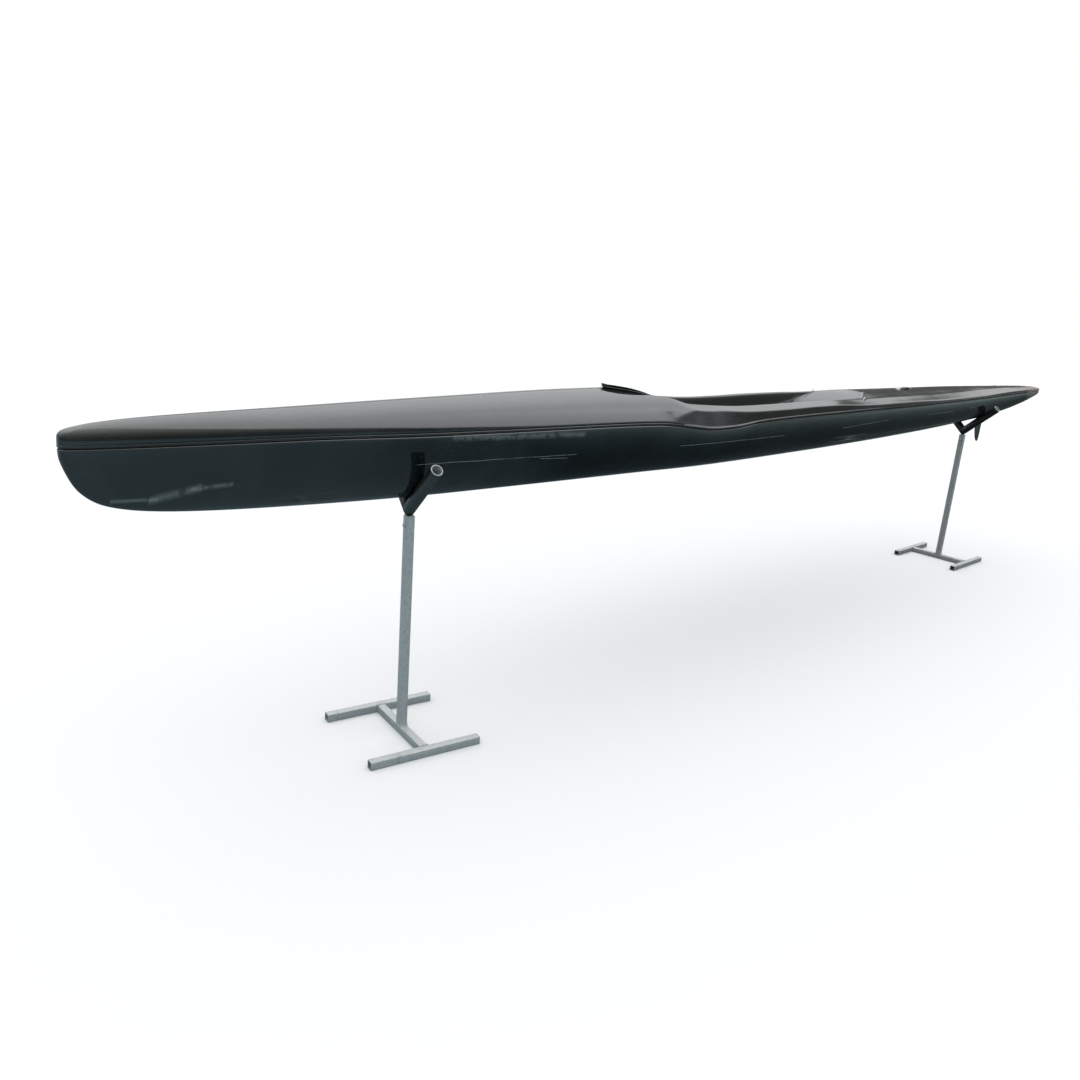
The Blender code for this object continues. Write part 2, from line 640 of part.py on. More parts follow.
def make_stand(b, name, x, turn, zinc, steel, rubber):
    cross = cradle_height(x, turn)
    post_top = cross - HEAD_CUT - GAP
    stand = b.empty(name, (x, 0, 0), turn)
    for side, end in ((-1, "left_foot"), (1, "right_foot")):
        square_tube(b, f"{name}_{end}", zinc, (FOOT_LENGTH, TUBE, TUBE),
                    (0, side * FOOT_SPACING / 2, TUBE / 2), 0, stand)
    square_tube(b, f"{name}_cross_bar", zinc, (TUBE, FOOT_SPACING - TUBE - 2 * GAP, TUBE),
                (0, 0, TUBE / 2), 1, stand)
    post_height = post_top - TUBE - GAP
    post = square_tube(b, f"{name}_post", zinc, (TUBE, TUBE, post_height),
                       (0, 0, TUBE + GAP + post_height / 2), 2, stand)
    stem_half = TUBE / 2 - TUBE_WALL - GAP
    b.part(box(f"{name}_stem", (2 * stem_half, 2 * stem_half, STEM_DEPTH),
               (0, 0, post_top - STEM_DEPTH / 2)), steel, stand)
    bolt_z = post_top - BOLT_DROP
    hole = b.tool(rod(f"{name}_bolt_hole", BOLT_RADIUS + GAP, (-TUBE, 0, bolt_z), (0, 0, bolt_z)), stand)
    b.boolean(post, hole)
    bolt = b.part(rod(f"{name}_bolt", BOLT_HEAD, (-TUBE / 2 - GAP - BOLT_HEAD_DEPTH, 0, bolt_z),
                      (-TUBE / 2 - GAP, 0, bolt_z)), steel, stand, round_piece=True)
    shank = b.tool(rod(f"{name}_bolt_shank", BOLT_RADIUS, (-TUBE / 2 - 2 * GAP - 0.001, 0, bolt_z),
                       (-stem_half - GAP, 0, bolt_z)), stand)
    b.boolean(bolt, shank, "UNION")
    # The V is cut flat below, where it stands on the post.
    flat_cut = b.tool(box(f"{name}_flat_cut", (0.2, 0.2, 0.1), (0, 0, cross - HEAD_CUT - 0.05)), stand)
    for side, end in ((-1, "left"), (1, "right")):
        way = Vector((0, side * math.cos(ARM_ANGLE), math.sin(ARM_ANGLE)))
        centre = Vector((0, 0, cross))
        tail = centre - way * 0.05
        tip = centre + way * ARM_LENGTH
        cuff = centre + way * (ARM_LENGTH - SLEEVE_SHORT)
        beyond = centre + way * (ARM_LENGTH + 0.05)
        mitre = b.tool(box(f"{name}_{end}_mitre", (0.2, 0.2, 0.4),
                           (0, -side * (0.1 - GAP / 2), cross)), stand)
        arm = b.part(rod(f"{name}_{end}_arm", ARM_RADIUS, tail, tip), zinc, stand, round_piece=True)
        b.boolean(arm, b.tool(rod(f"{name}_{end}_arm_bore", ARM_RADIUS - ARM_WALL, tail - way * 0.01,
                                  beyond), stand))
        b.boolean(arm, mitre)
        b.boolean(arm, flat_cut)
        sleeve = b.part(rod(f"{name}_{end}_sleeve", SLEEVE_RADIUS, tail, cuff), rubber, stand,
                        round_piece=True)
        b.boolean(sleeve, b.tool(rod(f"{name}_{end}_sleeve_bore", ARM_RADIUS + GAP, tail - way * 0.01,
                                     beyond), stand))
        b.boolean(sleeve, mitre)
        b.boolean(sleeve, flat_cut)


def build():
    b = Builder()
    gel = material("black_gelcoat", BLACK_GEL, 0.12)
    fitting = material("black_fitting", PLAIN_BLACK, 0.5)
    webbing = material("webbing", PLAIN_BLACK, 0.9)
    rubber = material("black_sleeve", PLAIN_BLACK, 0.75)
    zinc = material("galvanised_tube", GALVANISED, 0.45, 0.8)
    steel = material("plain_steel", GALVANISED, 0.3, 1.0)
    make_boat(b, gel)
    make_deck_fittings(b, gel, fitting, steel)
    make_foot_brace(b, fitting, webbing, steel)
    make_bailer(b, fitting)
    make_rudder(b, gel, steel)
    for name, x, turn in STANDS:
        make_stand(b, name, x, turn, zinc, steel, rubber)


build()
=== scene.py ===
# %% [markdown]
# This lesson dresses a surfski that rests on two trestle stands.
# A surfski is a long and very narrow racing kayak.
# The paddler sits on it, in a tub that is open to the sky.
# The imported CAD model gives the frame: where each piece is, and which body it moves with.
# Everything that is made below is set against that frame, in metres, with the bow at -X and +Z up.

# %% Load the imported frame
import math

import bmesh
import bpy
import numpy as np
from mathutils import Matrix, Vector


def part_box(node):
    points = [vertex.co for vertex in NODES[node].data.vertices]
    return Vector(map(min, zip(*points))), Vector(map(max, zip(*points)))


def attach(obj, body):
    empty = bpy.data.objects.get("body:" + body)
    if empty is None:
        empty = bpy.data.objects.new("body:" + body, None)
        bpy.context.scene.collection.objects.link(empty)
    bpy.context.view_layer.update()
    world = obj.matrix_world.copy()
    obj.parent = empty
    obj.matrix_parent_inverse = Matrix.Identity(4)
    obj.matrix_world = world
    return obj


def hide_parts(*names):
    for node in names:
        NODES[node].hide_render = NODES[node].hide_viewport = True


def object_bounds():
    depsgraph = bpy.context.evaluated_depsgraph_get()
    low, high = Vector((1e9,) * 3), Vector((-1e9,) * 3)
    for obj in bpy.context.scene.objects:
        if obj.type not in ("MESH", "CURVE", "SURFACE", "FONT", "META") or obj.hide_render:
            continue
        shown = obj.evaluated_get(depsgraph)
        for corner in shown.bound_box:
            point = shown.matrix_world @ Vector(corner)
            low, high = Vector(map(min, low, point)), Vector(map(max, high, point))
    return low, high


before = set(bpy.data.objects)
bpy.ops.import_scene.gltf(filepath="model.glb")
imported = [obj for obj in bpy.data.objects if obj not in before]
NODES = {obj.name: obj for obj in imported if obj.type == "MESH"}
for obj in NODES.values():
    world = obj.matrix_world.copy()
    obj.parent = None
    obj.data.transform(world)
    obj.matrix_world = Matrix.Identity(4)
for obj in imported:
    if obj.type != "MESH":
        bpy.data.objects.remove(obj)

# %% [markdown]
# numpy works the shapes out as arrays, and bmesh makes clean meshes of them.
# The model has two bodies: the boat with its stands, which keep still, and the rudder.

CAD_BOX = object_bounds()
BOAT = "boat_and_stands"
RUDDER = "rudder"
print("frame loaded:", len(NODES), "nodes, box", [tuple(round(v, 3) for v in corner) for corner in CAD_BOX])

# %% [markdown]
# The camera stands where the photographer stood: left of the bow, a little above the deck, looking aft.
# Its place and its three turns were found by fitting the boat's outline and the stands in the photograph.
# A camera's turns can be set as Euler angles, but roll comes last there.
# So the three turns are multiplied instead.

# %% Camera
CAMERA_PLACE = (-3.8594, -2.4449, 1.5952)
CAMERA_YAW = math.radians(43.628)
CAMERA_PITCH = math.radians(15.955)
CAMERA_ROLL = math.radians(-4.473)
CAMERA_LENS = 30.626
SENSOR_WIDTH = 36.0
NEAREST_SEEN = 0.05
FARTHEST_SEEN = 200.0


def make_camera():
    """Yaw about +Z, then pitch down from the horizon, then roll about the line of sight."""
    lens = bpy.data.cameras.new("photo_camera")
    lens.lens = CAMERA_LENS
    lens.sensor_width = SENSOR_WIDTH
    lens.clip_start = NEAREST_SEEN
    lens.clip_end = FARTHEST_SEEN
    camera = bpy.data.objects.new("photo_camera", lens)
    bpy.context.scene.collection.objects.link(camera)
    yaw = Matrix.Rotation(-CAMERA_YAW, 4, "Z")
    pitch = Matrix.Rotation(math.pi / 2 - CAMERA_PITCH, 4, "X")
    roll = Matrix.Rotation(-CAMERA_ROLL, 4, "Z")
    camera.matrix_world = Matrix.Translation(CAMERA_PLACE) @ yaw @ pitch @ roll
    bpy.context.scene.camera = camera
    return camera


camera = make_camera()
print("camera looks along", tuple(round(v, 4) for v in -camera.matrix_world.col[2].xyz))

# %% [markdown]
# Materials are node trees. Wiring them by hand takes many lines, so one small helper adds a node,
# sets its options and fills its sockets, either with a plain value or with a link from another node.
# A noise texture adds finer and finer layers. The three named details say how many,
# and GRITTY gives the fine layers more weight than usual.

# %% Node helper
SMOOTH = 1.0
LAYERED = 3.0
RICH = 4.0
GRITTY = 0.6


def add(tree, kind, inputs=None, **settings):
    """Adds a node; a socket given in inputs is linked, and anything else is set as its value."""
    made = tree.nodes.new(kind)
    for key, value in settings.items():
        setattr(made, key, value)
    for key, value in (inputs or {}).items():
        if isinstance(value, bpy.types.NodeSocket):
            tree.links.new(value, made.inputs[key])
        else:
            made.inputs[key].default_value = value
    return made


def maths(tree, operation, first, second=0.0, third=0.0):
    """One Math node, and its output."""
    made = add(tree, "ShaderNodeMath", {0: first, 1: second, 2: third}, operation=operation)
    return made.outputs[0]


def object_place(tree):
    """A point's place in its object's axes, which are the model's own axes while it is at rest."""
    return add(tree, "ShaderNodeTexCoord").outputs["Object"]


def upward(tree):
    """How far a surface faces up: the height of its normal."""
    normal = add(tree, "ShaderNodeNewGeometry").outputs["Normal"]
    return add(tree, "ShaderNodeSeparateXYZ", {0: normal}).outputs["Z"]


def squared(tree, value):
    """Value to the power 2."""
    return maths(tree, "POWER", value, 2.0)


def eased(tree, value, low, high, out_low=0.0, out_high=1.0):
    """Smooth step of a value from low to high."""
    made = add(tree, "ShaderNodeMapRange", {"Value": value, "From Min": low, "From Max": high,
                                            "To Min": out_low, "To Max": out_high},
               interpolation_type="SMOOTHSTEP")
    return made.outputs[0]


def noise(tree, where, scale, detail=2.0, rough=0.5):
    """Value of a noise texture at a place, from 0 to 1 about a mean of one half."""
    made = add(tree, "ShaderNodeTexNoise", {"Vector": where, "Scale": scale, "Detail": detail,
                                            "Roughness": rough})
    return made.outputs["Fac"]


def mixed(tree, mask, first, second):
    """Colour mix by a mask: the first colour where it is 0, and the second where it is 1."""
    made = add(tree, "ShaderNodeMix", data_type="RGBA")
    tree.links.new(mask, made.inputs["Factor"])
    for label, value in (("A", first), ("B", second)):
        socket = [s for s in made.inputs if s.name == label and s.type == "RGBA"][0]
        if isinstance(value, bpy.types.NodeSocket):
            tree.links.new(value, socket)
        else:
            socket.default_value = value
    return [s for s in made.outputs if s.type == "RGBA"][0]


# %% [markdown]
# Black gelcoat shows almost nothing but what it mirrors, so the studio is the most important material.
# A black mirror sends back a twentieth of the light where it is seen squarely, and a third where it is seen
# at a graze. So the sky on the camera's side, which the boat's side mirrors squarely, is about four times
# as bright as the far sky, which its crown mirrors at a graze.
# Then the foredeck turns one grey with a slow gradient.
# Below the sky stands a dark line of trees. On the camera's side it is high square to the bow, low farther
# aft, and high again towards the stern. On the far side it starts later, and is lower and darker.
# It draws the dark edge low on the bow, and keeps the cockpit's side and the aft deck dark.
# Matt finishes would be burnt out by such a sky, so rays from them meet a calmer one,
# and rays from the camera see a plain white backdrop.

# %% Studio sky
BACKDROP = (1.0, 1.0, 1.0, 1.0)
SKY_TINT = (0.97, 0.985, 1.0, 1.0)
FAR_SKY = 0.8
FAR_SKY_RISE = 3.9
NEAR_SKY = 3.3
NEAR_SKY_RISE = 1.0
NEAR_SPAN = (-0.35, 0.10)
STERN_DIM = 0.35
STERN_DIM_SPAN = (0.72, 0.82)
TREE_TINT = (1.0, 1.0, 0.96, 1.0)
TREE_LIGHT = 0.20
TREE_RISE = 3.0
FAR_TREE_LIGHT = 0.13
FAR_TREE_RISE = 0.5
FAR_TREES = 0.30
FAR_SPAN = (0.858, 0.880)
NEAR_TREES = 0.55
NEAR_TREES_SPAN = (0.742, 0.758)
BOW_TREES_FALL = 1.9
BOW_TREES_END = 0.58
STERN_TREES_SPAN = (0.920, 0.945)
STERN_TREES = 0.68
TREE_EDGE = 0.035
TREE_LUMPS = 5.0
TREE_RAGGED = 0.06
CALM_HORIZON = 0.45
CALM_ZENITH = 1.45


def sky_light(tree, along, height, nearness):
    """Far sky = FAR_SKY + FAR_SKY_RISE z squared, near sky = NEAR_SKY + NEAR_SKY_RISE z.

    The near sky loses up to STERN_DIM of its light towards the stern.
    """
    far_sky = maths(tree, "MULTIPLY_ADD", squared(tree, height), FAR_SKY_RISE, FAR_SKY)
    near_sky = maths(tree, "MULTIPLY_ADD", height, NEAR_SKY_RISE, NEAR_SKY)
    brighter = maths(tree, "MULTIPLY", nearness, maths(tree, "SUBTRACT", near_sky, far_sky))
    dimming = maths(tree, "MULTIPLY", nearness, eased(tree, along, *STERN_DIM_SPAN, 0.0, STERN_DIM))
    dimmed = maths(tree, "SUBTRACT", 1.0, dimming)
    return maths(tree, "MULTIPLY", maths(tree, "ADD", far_sky, brighter), dimmed)


def tree_line(tree, way, along, nearness):
    """Height of the tree tops: a slope by the bow and a step towards the stern on the near side, and
    one step on the far side. Both are lower right at the stern, and a noise makes them ragged."""
    bow_trees = maths(tree, "MULTIPLY", maths(tree, "SUBTRACT", BOW_TREES_END, along), BOW_TREES_FALL)
    near_trees = maths(tree, "ADD", maths(tree, "MAXIMUM", bow_trees, 0.0),
                       eased(tree, along, *NEAR_TREES_SPAN, 0.0, NEAR_TREES))
    far_trees = eased(tree, along, *FAR_SPAN, 0.0, FAR_TREES)
    lumps = noise(tree, way, TREE_LUMPS, LAYERED)
    ragged = maths(tree, "MULTIPLY_ADD", lumps, TREE_RAGGED, -TREE_RAGGED / 2)
    taller = maths(tree, "MULTIPLY", nearness, maths(tree, "SUBTRACT", near_trees, far_trees))
    lower = eased(tree, along, *STERN_TREES_SPAN, 1.0, STERN_TREES)
    return maths(tree, "MULTIPLY_ADD", maths(tree, "ADD", far_trees, taller), lower, ragged)


def make_world():
    """Radiance by a ray's direction, with x towards the stern, y away from the camera and z its height.

    Trees below their line = TREE_LIGHT + TREE_RISE z squared, since they let more light through higher up,
    and the far ones have their own two values.
    """
    world = bpy.data.worlds.new("studio")
    world.use_nodes = True
    tree = world.node_tree
    tree.nodes.clear()
    way = add(tree, "ShaderNodeTexCoord").outputs["Generated"]
    parts = add(tree, "ShaderNodeSeparateXYZ", {0: way}).outputs
    height = maths(tree, "MAXIMUM", parts["Z"], 0.0)
    nearness = eased(tree, parts["Y"], *NEAR_SPAN, 1.0, 0.0)
    sky = sky_light(tree, parts["X"], height, nearness)
    top = tree_line(tree, way, parts["X"], nearness)
    clear = eased(tree, maths(tree, "SUBTRACT", height, top), -TREE_EDGE, TREE_EDGE)
    calm = maths(tree, "MULTIPLY_ADD", squared(tree, height), CALM_ZENITH, CALM_HORIZON)
    kind = add(tree, "ShaderNodeLightPath").outputs
    rise = maths(tree, "MULTIPLY_ADD", nearness, TREE_RISE - FAR_TREE_RISE, FAR_TREE_RISE)
    foot = maths(tree, "MULTIPLY_ADD", nearness, TREE_LIGHT - FAR_TREE_LIGHT, FAR_TREE_LIGHT)
    thinning = maths(tree, "MULTIPLY_ADD", squared(tree, height), rise, foot)
    trees = add(tree, "ShaderNodeBackground", {"Color": TREE_TINT, "Strength": thinning})
    open_sky = add(tree, "ShaderNodeBackground", {"Color": SKY_TINT, "Strength": sky})
    glossy = add(tree, "ShaderNodeMixShader", {0: clear, 1: trees.outputs[0], 2: open_sky.outputs[0]})
    matt = add(tree, "ShaderNodeBackground", {"Color": SKY_TINT, "Strength": calm})
    plain = add(tree, "ShaderNodeBackground", {"Color": BACKDROP, "Strength": 1.0})
    is_glossy = kind["Is Glossy Ray"]
    lit = add(tree, "ShaderNodeMixShader", {0: is_glossy, 1: matt.outputs[0], 2: glossy.outputs[0]})
    is_camera = kind["Is Camera Ray"]
    both = add(tree, "ShaderNodeMixShader", {0: is_camera, 1: lit.outputs[0], 2: plain.outputs[0]})
    add(tree, "ShaderNodeOutputWorld", {"Surface": both.outputs[0]})
    bpy.context.scene.world = world


make_world()
print("studio sky ready")

# %% [markdown]
# The underside of the hull mirrors the ground, so the ground has colours of its own in mirrors:
# bluish by the bow, greener by the stern, and darker where the boat shades it, most of all aft.
# To the eye it is a pale studio floor, and only the soft shadows show on it.

# %% Studio floor
FLOOR_PALE = (0.90, 0.90, 0.90, 1.0)
GROUND_BY_BOW = (0.40, 0.56, 0.63, 1.0)
GROUND_BY_STERN = (0.42, 0.54, 0.52, 1.0)
GROUND_SPAN = (-1.0, 4.0)
SHADE_SPAN = (0.3, 5.0)
SHADED = 0.12
SHADED_BY_BOW = 0.75
BOW_SHADE_SPAN = (-2.6, -0.6)
PITCH_DARK = (0.0, 0.0, 0.0, 1.0)
FLOOR_REACH = 60.0


def make_floor():
    """A square floor; all rays but the camera's see it as ground, whose light rises with the distance
    from the boat's middle plane, from the shaded share to one."""
    mesh = bpy.data.meshes.new("floor")
    r = FLOOR_REACH
    mesh.from_pydata([(-r, -r, 0), (r, -r, 0), (r, r, 0), (-r, r, 0)], [], [(0, 1, 2, 3)])
    floor = bpy.data.objects.new("floor", mesh)
    bpy.context.scene.collection.objects.link(floor)
    ground = bpy.data.materials.new("pale_floor")
    ground.use_nodes = True
    tree = ground.node_tree
    tree.nodes.clear()
    pale = add(tree, "ShaderNodeBsdfDiffuse", {"Color": FLOOR_PALE})
    at = add(tree, "ShaderNodeSeparateXYZ", {0: object_place(tree)}).outputs
    along = eased(tree, at["X"], *GROUND_SPAN)
    shaded = eased(tree, at["X"], *BOW_SHADE_SPAN, SHADED_BY_BOW, SHADED)
    clear = eased(tree, maths(tree, "ABSOLUTE", at["Y"]), *SHADE_SPAN, shaded, 1.0)
    tone = mixed(tree, clear, PITCH_DARK, mixed(tree, along, GROUND_BY_BOW, GROUND_BY_STERN))
    dark = add(tree, "ShaderNodeBsdfDiffuse", {"Color": tone})
    eye = add(tree, "ShaderNodeLightPath").outputs["Is Camera Ray"]
    both = add(tree, "ShaderNodeMixShader", {0: eye, 1: dark.outputs[0], 2: pale.outputs[0]})
    add(tree, "ShaderNodeOutputMaterial", {"Surface": both.outputs[0]})
    mesh.materials.append(ground)


make_floor()
bpy.context.scene.view_settings.view_transform = "Standard"
print("studio floor ready")

# %% [markdown]
# Boats are drawn as lines: how high the keel, the seam and the crown are, and how wide the boat is,
# at each station. A builder bends a batten through those marks, and the batten eases every kink out of them.
# Here a curve goes through the marks without overshooting, and a short moving average does the batten's
# work. Without it, a mirror finish would show each station as a faint ring.

# %% Fair lines
BATTEN_POINTS = 31
BATTEN_LEAST = 0.004
BATTEN_SHARE = 0.4


def through(points, at):
    """Smooth curve through (x, value) points: cubic pieces whose slopes never overshoot."""
    xs = np.array([p[0] for p in points])
    ys = np.array([p[1] for p in points])
    width = np.diff(xs)
    slope = np.diff(ys) / width
    tangent = np.zeros(len(xs))
    tangent[0] = slope[0]
    tangent[-1] = slope[-1]
    rising = slope[:-1] * slope[1:] > 0
    near = 2 * width[1:] + width[:-1]
    far = width[1:] + 2 * width[:-1]
    with np.errstate(divide="ignore", invalid="ignore"):
        mean = (near + far) / (near / slope[:-1] + far / slope[1:])
    tangent[1:-1] = np.where(rising, mean, 0.0)
    i = np.clip(np.searchsorted(xs, at) - 1, 0, len(xs) - 2)
    t = (at - xs[i]) / width[i]
    start = ys[i] * (1 + 2 * t) * (1 - t) ** 2 + width[i] * tangent[i] * t * (1 - t) ** 2
    end = ys[i + 1] * t * t * (3 - 2 * t) + width[i] * tangent[i + 1] * t * t * (t - 1)
    return start + end


def faired(points, at, reach):
    """The same curve after a batten: a hump-weighted mean over reach either side, less near the ends.

    Beyond an end the curve is continued by its own half turn, so the end keeps its value and slope.
    """
    low = points[0][0]
    high = points[-1][0]
    at = np.clip(np.asarray(at, float), low, high)
    room = np.minimum(at - low, high - at)
    spread = np.minimum(reach, BATTEN_LEAST + BATTEN_SHARE * room)
    steps = np.linspace(-1.0, 1.0, BATTEN_POINTS)
    weights = np.cos(steps * math.pi / 2) ** 2
    weights /= weights.sum()
    spots = at[:, None] + spread[:, None] * steps
    folded = np.where(spots < low, 2 * low - spots, np.where(spots > high, 2 * high - spots, spots))
    values = through(points, folded)
    values = np.where(spots < low, 2 * points[0][1] - values, values)
    values = np.where(spots > high, 2 * points[-1][1] - values, values)
    return values @ weights


halfway = faired(((0.0, 0.0), (1.0, 1.0)), np.array([0.5]), BATTEN_SHARE)
print("a batten from 0 to 1 is at", round(float(halfway[0]), 3), "halfway")

# %% [markdown]
# The table repeats the boat's own lines from the CAD model, because a skin must lie where its solid is.
# hull_full and deck_full say how boxy a section is: 1 is a V, 2 an ellipse and 3 nearly a box.
# The other lines hold points of x and height. The gunwale is the edge where the deck's side turns in,
# and the ledge rises inward from it.

# %% The boat's lines
BOW = CAD_BOX[0].x
STERN = CAD_BOX[1].x
STATION_COLUMNS = ("x", "keel", "beam", "hull_full", "crown", "deck_full")
STATIONS = (
    (-3.200, 1.085, 0.010, 1.60, 1.128, 2.6),
    (-3.190, 1.050, 0.017, 1.60, 1.140, 2.6),
    (-3.155, 0.982, 0.028, 1.50, 1.149, 2.6),
    (-3.090, 0.938, 0.041, 1.45, 1.156, 2.6),
    (-2.940, 0.908, 0.062, 1.40, 1.164, 2.5),
    (-2.600, 0.884, 0.096, 1.40, 1.172, 2.4),
    (-2.000, 0.864, 0.142, 1.50, 1.187, 2.2),
    (-1.400, 0.860, 0.178, 1.80, 1.198, 2.1),
    (-0.950, 0.860, 0.200, 2.02, 1.197, 2.1),
    (-0.700, 0.860, 0.211, 2.10, 1.140, 2.1),
    (0.100, 0.871, 0.217, 2.20, 1.134, 2.1),
    (0.450, 0.878, 0.212, 2.24, 1.146, 2.1),
    (1.000, 0.892, 0.196, 2.30, 1.142, 2.1),
    (1.800, 0.922, 0.150, 2.50, 1.140, 2.1),
    (2.450, 0.958, 0.098, 2.50, 1.131, 2.1),
    (2.900, 1.006, 0.060, 2.30, 1.122, 2.2),
    (3.110, 1.041, 0.039, 2.10, 1.113, 2.3),
    (3.185, 1.056, 0.028, 2.00, 1.103, 2.3),
    (3.200, 1.064, 0.019, 2.00, 1.096, 2.3),
)
SEAM_LINE = (
    (-3.20, 1.097), (-2.60, 1.097), (-2.10, 1.090), (-1.40, 1.088), (-1.10, 1.082), (-0.95, 1.065),
    (-0.78, 1.048), (-0.64, 1.051), (-0.48, 1.066), (-0.20, 1.074), (0.10, 1.078), (0.90, 1.082),
    (1.60, 1.082), (3.20, 1.086),
)
GUNWALE_LINE = (
    (-3.20, 1.160), (-1.10, 1.160), (-0.90, 1.128), (-0.75, 1.119), (-0.50, 1.109), (-0.30, 1.109),
    (-0.05, 1.112), (0.15, 1.112), (0.40, 1.106), (0.70, 1.098), (1.15, 1.095), (1.60, 1.090), (3.20, 1.092),
)
LEDGE_RISE_LINE = (
    (-3.20, 0.012), (-1.10, 0.012), (-0.60, 0.009), (0.30, 0.009), (0.80, 0.018), (3.20, 0.018),
)
LINE_REACH = {"keel": 0.30, "beam": 0.30, "hull_full": 0.30, "crown": 0.12, "deck_full": 0.30}
SEAM_REACH = 0.07
GUNWALE_REACH = 0.10
TIP_ROUND = 0.012
SEARCH_POINTS = 20001


def column(table, names, name):
    """(x, value) points of one named column of a table, whose first column is x."""
    k = names.index(name)
    return [(row[0], row[k]) for row in table]


def line(name, x):
    """One column of the stations as a faired line."""
    return faired(column(STATIONS, STATION_COLUMNS, name), x, LINE_REACH[name])


def half_beam(x):
    """Half width at the seam, rounded to nothing at both tips by a quarter circle."""
    room = np.clip(np.minimum(x - BOW, STERN - x) / TIP_ROUND, 0.0, 1.0)
    return line("beam", x) * np.sqrt(1 - (1 - room) ** 2)


def seam_height(x):
    """Middle of the seam between hull and deck."""
    return faired(SEAM_LINE, x, SEAM_REACH)


def crowded(low, high, step, tight, places, spread):
    """Stations from low to high, step apart, that crowd down to tight near the given places.

    The wanted gap grows evenly with the distance from a place; stations are where the sum of 1 / gap
    passes whole numbers.
    """
    fine = np.linspace(low, high, SEARCH_POINTS)
    gap = np.full_like(fine, step)
    for place in places:
        gap = np.minimum(gap, tight + step * np.abs(fine - place) / spread)
    travelled = np.concatenate([[0.0], np.cumsum(0.5 * (1 / gap[1:] + 1 / gap[:-1]) * np.diff(fine))])
    count = int(math.ceil(travelled[-1]))
    return np.interp(np.linspace(0, travelled[-1], count + 1), travelled, fine)


print("beam amidships", round(2 * float(half_beam(np.array([0.0]))[0]), 3), "m")

# %% [markdown]
# Most pieces are one grid of points: rows follow the piece, columns go round it.
# The faces between the points follow from counting alone, so whole arrays are enough,
# with no loop over points. Where a row shrinks to a point, its doubles are merged,
# and the normals are worked out again afterwards.

# %% Grid to mesh
MERGED_WITHIN = 0.000002
SHORTEST_EDGE = 0.000001
NO_LENGTH = 1e-12


def grid_faces(rows, columns, loop_rows):
    """Quads between neighbouring points of a grid; columns close on themselves, and rows do if asked."""
    r = np.arange(rows if loop_rows else rows - 1)[:, None]
    c = np.arange(columns)[None, :]
    r_next = (r + 1) % rows
    c_next = (c + 1) % columns
    quads = np.stack(np.broadcast_arrays(r * columns + c, r * columns + c_next,
                                         r_next * columns + c_next, r_next * columns + c), -1)
    return quads.reshape(-1, 4)


def piece_from_grids(name, grids, loop_rows=False, cap=False):
    """One mesh from one or more grids of points [rows, columns, xyz]; cap fills the first and last rows."""
    points = []
    faces = []
    start = 0
    for grid in grids:
        rows, columns = grid.shape[:2]
        points.append(grid.reshape(-1, 3))
        quads = grid_faces(rows, columns, loop_rows) + start
        faces.extend(quads.tolist())
        if cap:
            faces.append(list(range(start, start + columns))[::-1])
            faces.append(list(range(start + (rows - 1) * columns, start + rows * columns)))
        start += rows * columns
    mesh = bpy.data.meshes.new(name)
    mesh.from_pydata(np.concatenate(points).tolist(), [], faces)
    bm = bmesh.new()
    bm.from_mesh(mesh)
    bmesh.ops.remove_doubles(bm, verts=bm.verts, dist=MERGED_WITHIN)
    bmesh.ops.dissolve_degenerate(bm, edges=bm.edges, dist=SHORTEST_EDGE)
    bmesh.ops.recalc_face_normals(bm, faces=bm.faces)
    bm.to_mesh(mesh)
    bm.free()
    piece = bpy.data.objects.new(name, mesh)
    bpy.context.scene.collection.objects.link(piece)
    return piece


def dress(piece, material, body=BOAT, replaces=(), sharp=None):
    """Gives a piece its finish, its body and the nodes it stands for."""
    piece.data.materials.clear()
    piece.data.materials.append(material)
    piece.data.shade_smooth()
    if sharp is not None:
        piece.data.set_sharp_from_angle(angle=math.radians(sharp))
    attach(piece, body)
    if replaces:
        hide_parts(*replaces)
    print(f"{piece.name}: {len(piece.data.vertices)} points")


def walled(grid, thickness):
    """Ring of a thin wall: the outer face, then the same points moved in along their own normals.

    The normal at a point is the cross product of the grid's two directions there.
    """
    along = np.gradient(grid, axis=0)
    across = np.gradient(grid, axis=1)
    normal = np.cross(along, across)
    normal /= np.linalg.norm(normal, axis=2, keepdims=True) + NO_LENGTH
    inner = grid - normal * thickness[:, None, None]
    return np.concatenate([grid, inner[:, ::-1]], axis=1)


# %% [markdown]
# Gelcoat is a hard coloured resin that is polished to a mirror. From near by it is never flat:
# it has the fine pebble of orange peel, and long waves where the laminate below has sunk.
# It also carries dust on what faces up and fine hairlines, and its side carries long pale lines that are
# painted reflections.
# Each of these effects is a node group with its own inputs, so that other finishes can use it too.

# %% Node groups
def group(name, output, inputs):
    """An empty node group with float inputs (name, value) and one float output."""
    tree = bpy.data.node_groups.new(name, "ShaderNodeTree")
    for label, value in inputs:
        socket = tree.interface.new_socket(label, in_out="INPUT", socket_type="NodeSocketFloat")
        socket.default_value = value
    tree.interface.new_socket(output, in_out="OUTPUT", socket_type="NodeSocketFloat")
    return tree, add(tree, "NodeGroupInput").outputs, tree.nodes.new("NodeGroupOutput")


def use(tree, shared, inputs):
    """Places a node group in a material and returns its output."""
    made = add(tree, "ShaderNodeGroup", node_tree=shared)
    for key, value in inputs.items():
        made.inputs[key].default_value = value
    return made.outputs[0]


